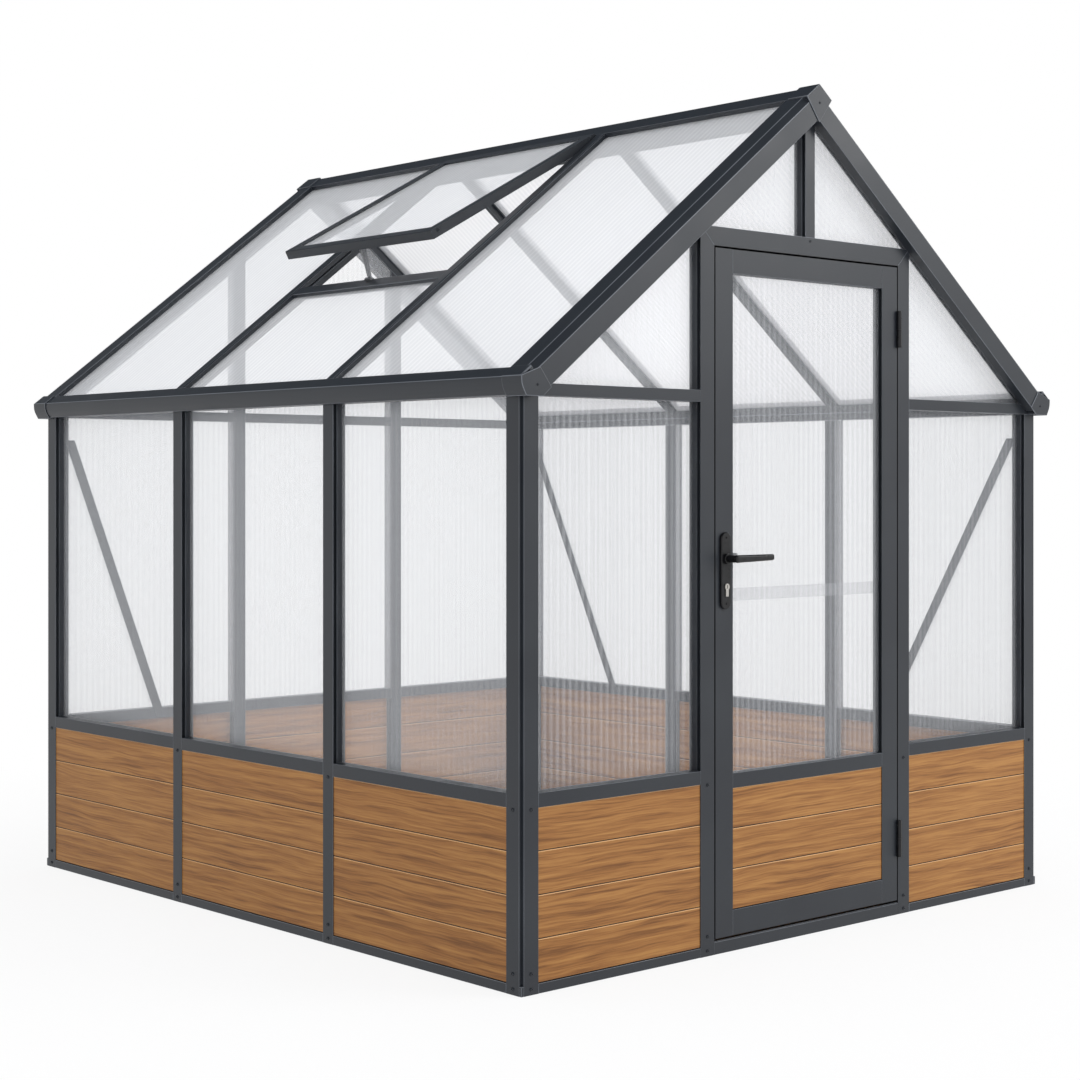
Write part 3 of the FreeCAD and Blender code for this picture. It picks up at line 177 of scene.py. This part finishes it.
# Powder coat on every extrusion: dark slate grey, very fine grit, soft cloudiness in its sheen.
# This attribute is 1 on rolled edges, which get a lighter colour as a painted highlight, and -1 on faces beside the
# gap round the door, which get a near-black colour as painted shade
coatLook = {"base": (0.018, 0.021, 0.027), "faded": (0.023, 0.027, 0.033), "edge": (0.160, 0.173, 0.196),
            "gap": (0.0015, 0.0015, 0.0018), "paintedLightMark": "edge", "cloud": 5.0, "fadeFrom": 0.35, "edgeLeast": 0.55,
            "sheenLow": 0.33, "sheenHigh": 0.44, "edgeSheen": -0.10, "gloss": 0.38,
            "grit": 1500.0, "gritSheen": 0.1, "gritBump": 0.12, "gritDepth": 0.0002}


def slateCoat():
    finish = Finish("slateCoat")
    at = finish.place()
    cloud = finish.noise(at, coatLook["cloud"], detail=3.0)
    grit = finish.noise(at, coatLook["grit"], detail=1.0)
    paintedLightMark = finish.add("Attribute", {"attribute_name": coatLook["paintedLightMark"]}, out=2)
    # painted highlight: the rolled edges take the light edge colour
    edge = paintedLightMark * cloud.spread(0.3, 0.7, coatLook["edgeLeast"], 1.0)
    tone = finish.mix(cloud.spread(coatLook["fadeFrom"], 0.7), coatLook["base"], coatLook["faded"])
    tone = finish.mix(edge, tone, coatLook["edge"])
    # painted shade: faces beside the door's gap take a near-black colour for the shadow in the gap
    tone = finish.mix(0.0 - paintedLightMark, tone, coatLook["gap"])
    rough = cloud.spread(0.3, 0.7, coatLook["sheenLow"], coatLook["sheenHigh"])
    rough = rough + (grit - 0.5) * coatLook["gritSheen"] + edge * coatLook["edgeSheen"]
    return finish.surface(Base_Color=tone, Roughness=rough, Specular_IOR_Level=coatLook["gloss"],
                          Normal=finish.bump(grit, coatLook["gritBump"], coatLook["gritDepth"]))


# Brown boards: streaks along the run, fine fibres, one tone and one offset for every board
boardLook = {"stops": ((0.36, (0.175, 0.073, 0.024)), (0.47, (0.298, 0.131, 0.040)), (0.60, (0.410, 0.200, 0.062))),
             "bay": 0.73, "rowStep": 7.0, "bayStep": 3.0, "shift": 40.0, "toneChange": 0.05,
             "swayRun": 3.4, "swayAcross": 11.0, "sway": 0.030,
             "streakRun": 4.6, "streakAcross": 210.0, "streakShare": 0.44,
             "figureRun": 2.0, "figureAcross": 48.0, "figureShare": 0.26,
             "fibreRun": 12.0, "fibreAcross": 420.0, "fibreShare": 0.22,
             "ring": 36.0, "ringBend": 2.2, "ringShare": 0.08,
             "rim": (0.680, 0.400, 0.195), "rimDrop": 0.0021,
             "seam": (0.026, 0.014, 0.008), "seamDrop": 0.0003, "seamTop": 0.0025,
             "sheenLow": 0.44, "sheenHigh": 0.58, "gloss": 0.22, "bump": 0.22, "bumpDepth": 0.0005}
wallBoards = {"start": 0.024, "rise": 0.10325}  # the same rows as the boards of the walls and the door
doorBoards = {"start": 0.105, "rise": 0.104}


def boardGrain(name, run, rows):
    finish = Finish(name)
    axes = finish.axes()
    along, up = axes[run], axes[2]
    row = (up - rows["start"]) / rows["rise"]
    bay = (along / boardLook["bay"] + 0.5).floor()
    chance = finish.chance(row.floor() * boardLook["rowStep"] + bay * boardLook["bayStep"])
    shift = chance * boardLook["shift"]
    swayAt = finish.vector(along * boardLook["swayRun"] + shift, up * boardLook["swayAcross"], shift)
    high = up + (finish.noise(swayAt, 1.0) - 0.5) * boardLook["sway"]  # height with the streaks' bends
    streakAt = finish.vector(along * boardLook["streakRun"] + shift, high * boardLook["streakAcross"], shift)
    streak = finish.noise(streakAt, 1.0, detail=4.0, rough=0.55, twist=0.3)
    figureAt = finish.vector(along * boardLook["figureRun"] + shift, high * boardLook["figureAcross"] + shift, shift)
    figure = finish.noise(figureAt, 1.0, detail=3.0, twist=0.8)
    fibreAt = finish.vector(along * boardLook["fibreRun"] + shift, up * boardLook["fibreAcross"], shift)
    fibre = finish.noise(fibreAt, 1.0, rough=0.6)
    ring = (high * boardLook["ring"] + figure * boardLook["ringBend"] + shift).wave()  # long arcs across a board
    grain = (streak * boardLook["streakShare"] + figure * boardLook["figureShare"] + fibre * boardLook["fibreShare"]
             + ring * boardLook["ringShare"] + (chance - 0.5) * boardLook["toneChange"])
    tone = finish.add("ValToRGB", {"stops": boardLook["stops"]}, {0: grain})
    side = ((row + 0.5).part() - 0.5) * rows["rise"]  # height over the nearest seam
    # painted highlight: a light line just under each seam, where the board's edge catches the light
    rim = (side > -boardLook["rimDrop"]) * (side < -boardLook["seamDrop"])
    # painted shade: a near-black line in each seam's groove
    seam = (side > -boardLook["seamDrop"]) * (side < boardLook["seamTop"])
    tone = finish.mix(seam, finish.mix(rim, tone, boardLook["rim"]), boardLook["seam"])
    return finish.surface(Base_Color=tone, Specular_IOR_Level=boardLook["gloss"],
                          Roughness=fibre.spread(0.3, 0.7, boardLook["sheenLow"], boardLook["sheenHigh"]),
                          Normal=finish.bump(streak * 0.5 + fibre, boardLook["bump"], boardLook["bumpDepth"]))


# Clear fluted sheet: even milky haze, webs drawn as fine regular lines
sheetLook = {"pitch": 0.0205, "main": 4.0, "mainLeast": 0.6, "minor": 3.0, "minorShare": 0.25, "cloud": 1.6,
             "webTint": (0.80, 0.81, 0.83), "rough": 0.32, "webRough": 0.45, "gloss": 0.25}
wallSheet = {"tint": (0.775, 0.788, 0.812), "haze": 0.178, "hazeChange": 0.01, "web": 0.085}
# front wall and door copy of the sheet: a much darker tint than the walls' copy, painted shade
shadedFrontSheet = {"tint": (0.430, 0.440, 0.462), "haze": 0.178, "hazeChange": 0.01, "web": 0.080}
# roof copy of the sheet: a lighter, bluish-white tint than the walls' copy, painted light from the sky above
litRoofSheet = {"tint": (0.958, 0.968, 1.0), "haze": 0.370, "hazeChange": 0.02, "web": 0.06, "webTint": (1.0, 1.0, 1.0)}
stripSheet = {"tint": (0.30, 0.305, 0.325), "haze": 0.160, "hazeChange": 0.01, "web": 0.04}


def clearSheet(name, across, look):
    finish = Finish(name)
    flute = finish.axes()[across] / sheetLook["pitch"]
    main = flute.wave() ** sheetLook["main"]
    minor = (flute * 2.0 + 0.5).wave() ** sheetLook["minor"]
    chance = finish.chance((flute + 0.5).floor())
    web = main * chance.spread(0.0, 1.0, sheetLook["mainLeast"], 1.0) + minor * sheetLook["minorShare"]
    cloud = finish.noise(finish.place(), sheetLook["cloud"])
    haze = look["haze"] + web * look["web"] + (cloud - 0.5) * look["hazeChange"]
    tone = finish.mix(web, look["tint"], look.get("webTint", sheetLook["webTint"]))
    rough = web.spread(0.0, 1.0, sheetLook["rough"], sheetLook["webRough"])
    return finish.surface(Base_Color=tone, Roughness=rough, Alpha=haze, Specular_IOR_Level=sheetLook["gloss"])


# Black handle and hinges: smooth satin paint
blackLook = {"base": (0.0035, 0.0036, 0.0044), "worn": (0.009, 0.009, 0.011), "cloud": 60.0, "sheenLow": 0.26,
             "sheenHigh": 0.38, "gloss": 0.34, "grit": 2500.0, "gritBump": 0.06, "gritDepth": 0.0002}


def blackPaint():
    finish = Finish("blackPaint")
    at = finish.place()
    cloud = finish.noise(at, blackLook["cloud"], detail=3.0)
    grit = finish.noise(at, blackLook["grit"], detail=1.0)
    return finish.surface(Base_Color=finish.mix(cloud.spread(0.4, 0.8), blackLook["base"], blackLook["worn"]),
                          Roughness=cloud.spread(0.3, 0.7, blackLook["sheenLow"], blackLook["sheenHigh"]),
                          Specular_IOR_Level=blackLook["gloss"],
                          Normal=finish.bump(grit, blackLook["gritBump"], blackLook["gritDepth"]))


# Bare metal: fine brushing along one axis
metalLook = {"sheenLow": 0.24, "sheenHigh": 0.40, "darker": 0.82, "bump": 0.08, "bumpDepth": 0.0002}
nickelLook = {"base": (0.50, 0.48, 0.45), "lines": (900.0, 900.0, 60.0)}
zincLook = {"base": (0.21, 0.215, 0.225), "lines": (900.0, 900.0, 90.0)}


def brushedMetal(name, look):
    finish = Finish(name)
    at = finish.vector(*(axis * lines for axis, lines in zip(finish.axes(), look["lines"])))
    brush = finish.noise(at, 1.0)
    darker = tuple(metalLook["darker"] * value for value in look["base"])
    return finish.surface(Base_Color=finish.mix(brush, darker, look["base"]), Metallic=1.0,
                          Roughness=brush.spread(0.3, 0.7, metalLook["sheenLow"], metalLook["sheenHigh"]),
                          Normal=finish.bump(brush, metalLook["bump"], metalLook["bumpDepth"]))


coat = slateCoat()
black = blackPaint()
nickel = brushedMetal("nickel", nickelLook)
zinc = brushedMetal("zinc", zincLook)
grainX = boardGrain("boardGrainX", 0, wallBoards)
grainY = boardGrain("boardGrainY", 1, wallBoards)
grainDoor = boardGrain("boardGrainDoor", 0, doorBoards)
sheetX = clearSheet("wallSheetX", 0, wallSheet)
shadedSheetFront = clearSheet("shadedFrontSheet", 0, shadedFrontSheet)
sheetY = clearSheet("wallSheetY", 1, wallSheet)
litSheetRoof = clearSheet("litRoofSheet", 1, litRoofSheet)
sheetStrip = clearSheet("stripSheet", 0, stripSheet)
print("greenhouse: materials ready")

# Which finish goes on which node; everything else is coated frame
finishes = {
    "wall_boards_left": grainY, "wall_boards_right": grainY, "wall_boards_back": grainX, "wall_boards_front": grainX,
    "door_boards": grainDoor, "door_crossbar": sheetStrip, "wall_sheets_left": sheetY, "wall_sheets_right": sheetY,
    "wall_sheets_back": sheetX, "wall_sheets_front": shadedSheetFront, "gable_sheets_front": sheetX,
    "gable_sheets_back": sheetX, "door_sheet": shadedSheetFront, "roof_sheets_left": litSheetRoof,
    "roof_sheets_right": litSheetRoof, "vent_sheet": litSheetRoof, "handle_plates": black, "door_lever": black,
    "hinge_frame_halves": black, "hinge_leaf_halves": black, "lock_cylinder": nickel,
    "cylinder_plug": nickel, "latch_bolt": nickel, "dead_bolt": nickel, "lock_case": nickel, "strike_plate": nickel,
    "vent_stay": zinc, "stay_rest": zinc, "stay_bracket": zinc,
}
for name, item in nodes.items():
    item.data.materials.clear()
    item.data.materials.append(finishes.get(name, coat))


def newPiece(name, shape, body, material, smooth):
    mesh = bpy.data.meshes.new(name)
    shape.to_mesh(mesh)
    shape.free()
    for face in mesh.polygons:
        face.use_smooth = True
    mesh.set_sharp_from_angle(angle=math.radians(smooth))
    mesh.materials.append(material)
    piece = bpy.data.objects.new(name, mesh)
    bpy.context.scene.collection.objects.link(piece)
    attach(piece, body)
    return piece


def evenShade(piece):  # keeps wide faces flat beside their rolled edges
    even = piece.modifiers.new("even", "WEIGHTED_NORMAL")
    even.keep_sharp = True


def rollEdges(shape, edges, radius, steps):
    return bmesh.ops.bevel(shape, geom=edges, offset=radius, offset_type="OFFSET", segments=steps, profile=0.5,
                           affect="EDGES", clamp_overlap=True, material=-1)


# Rolled edges: each extrusion and fitting gets its real small radius, by slot, so that edges catch the light; the coat
# also paints these rolled faces lighter as a highlight
edgeLook = {"radius": {"frame": 0.0015, "handle": 0.0030, "hinges": 0.0012, "lock": 0.0004, "stay": 0.0006},
            "turn": math.radians(25.0), "steps": 2, "smooth": 32.0, "merge": 0.00001, "flat": math.radians(1.0)}
doorEdges = {"radius": 0.0012, "reach": 0.006, "front": 0.95,
             "nodes": ("door_stiles", "door_rails", "door_jamb_latch", "door_jamb_hinge", "door_header", "door_sill")}
leafLow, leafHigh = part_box("door_stiles")


def besideGap(face):  # on the outline of the door leaf, and turned from the front towards the gap
    spot, reach = face.calc_center_median(), doorEdges["reach"]
    if abs(face.normal.y) > doorEdges["front"]:
        return False
    if not all(leafLow[axis] - reach < spot[axis] < leafHigh[axis] + reach for axis in (0, 2)):
        return False
    return any(abs(spot[axis] - side[axis]) < reach for side in (leafLow, leafHigh) for axis in (0, 2))


def rolledEdges(name):
    byDoor = name in doorEdges["nodes"]
    shape = bmesh.new()
    shape.from_mesh(nodes[name].data)
    bmesh.ops.remove_doubles(shape, verts=shape.verts, dist=edgeLook["merge"])
    bmesh.ops.dissolve_limit(shape, angle_limit=edgeLook["flat"], verts=shape.verts, edges=shape.edges)
    sharp = [edge for edge in shape.edges if len(edge.link_faces) == 2 and edge.is_convex
             and edge.calc_face_angle() > edgeLook["turn"]]
    radius = doorEdges["radius"] if byDoor else edgeLook["radius"][slotOf[name]]
    rolled = rollEdges(shape, sharp, radius, edgeLook["steps"])
    # 1 on rolled faces for the coat's painted highlight, -1 beside the door's gap for its painted shade
    paintedLightMark = shape.loops.layers.float.new(coatLook["paintedLightMark"])
    shape.normal_update()
    for face in rolled["faces"]:
        for corner in face.loops:
            corner[paintedLightMark] = 1.0
    # painted shade: faces beside the door's gap get -1, which the coat paints near black
    for face in filter(besideGap, shape.faces if byDoor else ()):
        for corner in face.loops:
            corner[paintedLightMark] = -1.0
    bmesh.ops.dissolve_degenerate(shape, dist=edgeLook["merge"], edges=shape.edges)  # where rolls meet on a thin lip
    piece = newPiece(name + "_edged", shape, bodyOf[name], finishes.get(name, coat), edgeLook["smooth"])
    evenShade(piece)
    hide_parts(name)
    return piece


plainNodes = ("door_lever", "vent_frame")  # a piece of its own stands for the lever; the vent's hook is too fine
edged = [rolledEdges(name) for name in nodes if slotOf[name] in edgeLook["radius"] and name not in plainNodes]
print("greenhouse: edges rolled on", len(edged), "pieces,", sum(len(piece.data.polygons) for piece in edged), "faces")

# Lever pair: round necks with collars, tapered grips with fully rounded sides, one square spindle
leverLook = {"stand": 0.046, "reach": 0.134, "high": 0.020, "tipHigh": 0.016, "thick": 0.013, "round": 0.0058,
             "neck": 0.0095, "neckSink": 0.0004, "neckSeat": 0.006,
             "collar": 0.014, "collarDeep": 0.009, "collarClear": 0.0001, "rim": 0.0020,
             "spindle": 0.008, "steps": 5, "sides": 40, "smooth": 35.0}
plateLow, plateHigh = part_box("handle_plates")
plateFaces = ((plateLow[1], -1.0), (plateHigh[1], 1.0))  # outer faces of the two plates, and which way they look


def leverGrip(front, way, middle):
    start = -leverLook["neck"]
    size = (leverLook["reach"] - start, leverLook["thick"], leverLook["high"])
    grip = bmesh.new()
    bmesh.ops.create_cube(grip, size=1.0)
    bmesh.ops.scale(grip, vec=size, verts=grip.verts)
    tipFoot = [vert for vert in grip.verts if vert.co.x > 0.0 and vert.co.z < 0.0]
    bmesh.ops.translate(grip, vec=(0.0, 0.0, leverLook["high"] - leverLook["tipHigh"]), verts=tipFoot)
    rollEdges(grip, grip.edges[:], leverLook["round"], leverLook["steps"])
    centre = Vector((start + size[0] / 2, front - way * size[1] / 2, 0.0)) + middle
    bmesh.ops.translate(grip, vec=centre, verts=grip.verts)
    return grip


def leverRound(radius, near, far, edge, middle):  # a round bar along Y from near to far, its near rim rolled
    bar = bmesh.new()
    bmesh.ops.create_cone(bar, cap_ends=True, segments=leverLook["sides"], radius1=radius, radius2=radius,
                          depth=abs(far - near))
    bmesh.ops.rotate(bar, matrix=Matrix.Rotation(math.radians(90.0), 3, "X"), verts=bar.verts)
    bmesh.ops.translate(bar, vec=middle + Vector((0.0, (near + far) / 2, 0.0)), verts=bar.verts)
    rim = [item for item in bar.edges if all(abs(vert.co.y - near) < edgeLook["merge"] for vert in item.verts)]
    rollEdges(bar, rim, edge, leverLook["steps"])
    return bar


def leverSpindle(middle):
    bar = bmesh.new()
    bmesh.ops.create_cube(bar, size=1.0)
    bmesh.ops.scale(bar, vec=(leverLook["spindle"], plateHigh[1] - plateLow[1], leverLook["spindle"]), verts=bar.verts)
    bmesh.ops.translate(bar, vec=middle + Vector((0.0, jointAt["lever_turn"][1], 0.0)), verts=bar.verts)
    return bar


def joined(shapes):  # one closed skin round several solid shapes
    items = []
    for shape in shapes:
        mesh = bpy.data.meshes.new("leverPart")
        shape.to_mesh(mesh)
        shape.free()
        items.append(bpy.data.objects.new("leverPart", mesh))
        bpy.context.scene.collection.objects.link(items[-1])
    for other in items[1:]:
        union = items[0].modifiers.new("union", "BOOLEAN")
        union.operation = "UNION"
        union.solver = "EXACT"
        union.object = other
    bpy.context.view_layer.update()
    skin = bmesh.new()
    skin.from_object(items[0], bpy.context.evaluated_depsgraph_get())
    for item in items:
        mesh = item.data
        bpy.data.objects.remove(item)
        bpy.data.meshes.remove(mesh)
    return skin


def leverPair():
    x, y, z = jointAt["lever_turn"]
    middle = Vector((x, 0.0, z))
    shapes = []
    for face, way in plateFaces:
        front = face + way * leverLook["stand"]
        neckEnds = (front - way * leverLook["neckSink"], face - way * leverLook["neckSeat"])
        collarEnds = (face + way * (leverLook["collarDeep"] + leverLook["collarClear"]),
                      face + way * leverLook["collarClear"])
        shapes.append(leverGrip(front, way, middle))
        shapes.append(leverRound(leverLook["neck"], *neckEnds, leverLook["round"], middle))
        shapes.append(leverRound(leverLook["collar"], *collarEnds, leverLook["rim"], middle))
    shapes.append(leverSpindle(middle))
    piece = newPiece("lever_rounded", joined(shapes), bodyOf["door_lever"], black,
                     leverLook["smooth"])
    evenShade(piece)
    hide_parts("door_lever")


leverPair()
print("greenhouse: lever pair rounded")

# Screws: low domed heads with a six-sided socket; each step lifts the top face and draws it in
screwLook = {"radius": 0.0046, "sides": 12, "smooth": 40.0,
             "steps": ((0.0008, 1.0), (0.0022 * 0.6, 0.86), (0.0022 * 0.4, 0.74), (0.0, 0.40 / 0.64), (-0.0014, 0.9))}


def screwHeads(name, body, material, spots, scale=1.0):
    heads = bmesh.new()
    for at, way in spots:
        turn = Vector(way).to_track_quat("Z", "Y").to_matrix().to_4x4()
        ring = bmesh.ops.create_circle(heads, cap_ends=True, segments=screwLook["sides"],
                                       radius=screwLook["radius"] * scale)
        mine = list(ring["verts"])
        face = mine[0].link_faces[0]
        for lift, shrink in screwLook["steps"]:
            grown = bmesh.ops.extrude_face_region(heads, geom=[face, *face.edges])  # leaves no face inside
            face = [item for item in grown["geom"] if isinstance(item, bmesh.types.BMFace)][0]
            middle = face.calc_center_median()
            for vert in face.verts:
                vert.co = middle + (vert.co - middle) * shrink + Vector((0.0, 0.0, lift * scale))
            mine += list(face.verts)
        bmesh.ops.transform(heads, matrix=Matrix.Translation(Vector(at)) @ turn, verts=mine)
    bmesh.ops.recalc_face_normals(heads, faces=heads.faces)
    return newPiece(name, heads, body, material, screwLook["smooth"])


wall = {"x": 1.025, "y": 1.125, "corner": 0.031, "sidePost": 0.3643, "backPost": 0.3310, "jamb": 0.396,
        "levels": (0.434, 0.050, 0.014)}


def wallScrews():
    cornerX, cornerY = wall["x"] - wall["corner"], wall["y"] - wall["corner"]
    along = (-cornerY, -wall["sidePost"], wall["sidePost"], cornerY)
    spots = []
    for z in wall["levels"]:
        for sign, post in ((-1.0, wall["jamb"]), (1.0, wall["backPost"])):
            across = (-cornerX, -post, post, cornerX)
            spots += [((sign * wall["x"], y, z), (sign, 0.0, 0.0)) for y in along]
            spots += [((x, sign * wall["y"], z), (0.0, sign, 0.0)) for x in across]
    return spots


roof = {"capFace": 1.158, "header": 1.842, "ridge": 2.206, "eaveOut": 1.003, "eave": 1.4275, "scale": 0.7}


def roofScrews():  # one over the door, one in each end cap
    spots = [((0.0, -wall["y"], roof["header"]), (0.0, -1.0, 0.0))]
    for sign in (-1.0, 1.0):
        caps = ((0.0, roof["ridge"]), (-roof["eaveOut"], roof["eave"]), (roof["eaveOut"], roof["eave"]))
        spots += [((x, sign * roof["capFace"], z), (0.0, sign, 0.0)) for x, z in caps]
    return spots


plate = {"inset": 0.014, "scale": 0.55}


def plateScrews():
    x = (plateLow[0] + plateHigh[0]) / 2
    levels = (plateLow[2] + plate["inset"], plateHigh[2] - plate["inset"])
    return [((x, y, z), (0.0, way, 0.0)) for y, way in plateFaces for z in levels]


vent = {"slope": math.radians(28.5), "runs": (-0.0255, -0.6745), "over": 0.003, "scale": 1.25}


def ventScrews():  # in the flanks of its frame, at the four corners
    low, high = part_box("vent_frame")
    hinge = jointAt["vent_hinge"]
    spots = []
    for run in vent["runs"]:
        x = hinge[0] + run * math.cos(vent["slope"]) - vent["over"] * math.sin(vent["slope"])
        z = hinge[2] + run * math.sin(vent["slope"]) + vent["over"] * math.cos(vent["slope"])
        spots += [((x, low[1], z), (0.0, -1.0, 0.0)), ((x, high[1], z), (0.0, 1.0, 0.0))]
    return spots


screwHeads("wall_screws", "frame", coat, wallScrews())
screwHeads("roof_screws", "frame", coat, roofScrews(), roof["scale"])
screwHeads("plate_screws", "door", black, plateScrews(), plate["scale"])
screwHeads("vent_screws", "vent", coat, ventScrews(), vent["scale"])
print("greenhouse: screws set")

# Camera at the photograph's angle, level, with the frame shifted down
cameraSpot = {"at": (-4.2102, -4.7344, 1.1951), "turn": -41.9456, "lens": 68.907, "sensor": 36.0, "shift": -0.0514}
cameraData = bpy.data.cameras.new("camera")
cameraData.lens = cameraSpot["lens"]
cameraData.sensor_width = cameraSpot["sensor"]
cameraData.shift_y = cameraSpot["shift"]
camera = bpy.data.objects.new("camera", cameraData)
camera.location = cameraSpot["at"]
camera.rotation_euler = (math.radians(90.0), 0.0, math.radians(cameraSpot["turn"]))
bpy.context.scene.collection.objects.link(camera)
bpy.context.scene.camera = camera

# Pale floor that fades into a white backdrop and keeps the shadow near the walls
floorLook = {"half": 30.0, "drop": 0.0005, "colour": (0.86, 0.86, 0.87), "cloud": 0.6, "cloudTone": 0.99,
             "white": 0.86, "near": 1.6, "far": 3.2}


def seenRay(finish):  # 1 for rays that only look, 0 for rays that light
    direct = finish.add("LightPath", out=0)
    glossy = finish.add("LightPath", out=3)
    through = finish.add("LightPath", out=6)
    return (direct + glossy + through).spread(0.0, 1.0)


def paleFloor():
    finish = Finish("paleFloor")
    cloud = finish.noise(finish.place(), floorLook["cloud"])
    tone = finish.mix(cloud, floorLook["colour"], tuple(floorLook["cloudTone"] * part for part in floorLook["colour"]))
    matt = finish.add("BsdfDiffuse", sockets={"Color": tone})
    white = finish.add("Emission", sockets={"Color": (1.0, 1.0, 1.0), "Strength": 1.0})
    reach = finish.add("VectorMath", {"operation": "LENGTH"}, {0: finish.place()}, out=1)
    share = reach.spread(floorLook["near"], floorLook["far"], floorLook["white"], 1.0)
    return finish.show(finish.add("MixShader", sockets={0: seenRay(finish) * share, 1: matt, 2: white}))


floorMesh = bpy.data.meshes.new("floor")
grid = bmesh.new()
bmesh.ops.create_grid(grid, x_segments=1, y_segments=1, size=floorLook["half"])
bmesh.ops.translate(grid, verts=grid.verts, vec=(0.0, 0.0, -floorLook["drop"]))
grid.to_mesh(floorMesh)
grid.free()
floorMesh.materials.append(paleFloor())
floor = bpy.data.objects.new("floor", floorMesh)
bpy.context.scene.collection.objects.link(floor)

# Soft light all round, a little stronger from the front right; the ceiling is dark in reflections
skyLook = {"colour": (0.97, 0.985, 1.0), "level": 0.92, "ceiling": (0.085, 0.105, 0.130), "from": 0.10, "full": 0.50}
lampLook = {"key": {"at": (4.2, -6.0, 4.6), "size": 5.0, "power": 235.0},
            "fill": {"at": (-5.4, -4.6, 4.0), "size": 5.0, "power": 60.0},
            "room": {"at": (0.0, 0.0, 0.95), "size": 0.6, "power": 20.0}, "aim": (0.0, 0.0, 1.0)}


def studioAir():
    world = bpy.data.worlds.new("studio")
    bpy.context.scene.world = world
    finish = Finish("studio", world)
    height = finish.add("SeparateXYZ", sockets={0: finish.add("TexCoord", out=0)}, out=2)
    dim = height.spread(skyLook["from"], skyLook["full"]) * finish.add("LightPath", out=3)
    backdrop = finish.mix(dim, (1.0, 1.0, 1.0), skyLook["ceiling"])
    plain = finish.add("Background", sockets={"Color": backdrop, "Strength": 1.0})
    lit = finish.add("Background", sockets={"Color": skyLook["colour"], "Strength": skyLook["level"]})
    finish.show(finish.add("MixShader", sockets={0: seenRay(finish), 1: lit, 2: plain}))


def newLamp(name, kind):
    data = bpy.data.lights.new(name, kind)
    data.energy = lampLook[name]["power"]
    lamp = bpy.data.objects.new(name, data)
    lamp.location = lampLook[name]["at"]
    bpy.context.scene.collection.objects.link(lamp)
    return lamp


def softLamp(name):
    lamp = newLamp(name, "AREA")
    lamp.data.shape = "DISK"
    lamp.data.size = lampLook[name]["size"]
    aim = Vector(lampLook["aim"]) - Vector(lampLook[name]["at"])
    lamp.rotation_euler = aim.to_track_quat("-Z", "Y").to_euler()


def roomLamp():  # lifts the inside, as light scattered by the sheets does
    lamp = newLamp("room", "POINT")
    lamp.data.shadow_soft_size = lampLook["room"]["size"]
    lamp.visible_camera = False
    lamp.visible_glossy = False
    lamp.visible_transmission = False


studioAir()
roomLamp()
softLamp("key")
softLamp("fill")
bpy.context.scene.view_settings.view_transform = "Standard"
print("greenhouse: camera, floor and light ready")
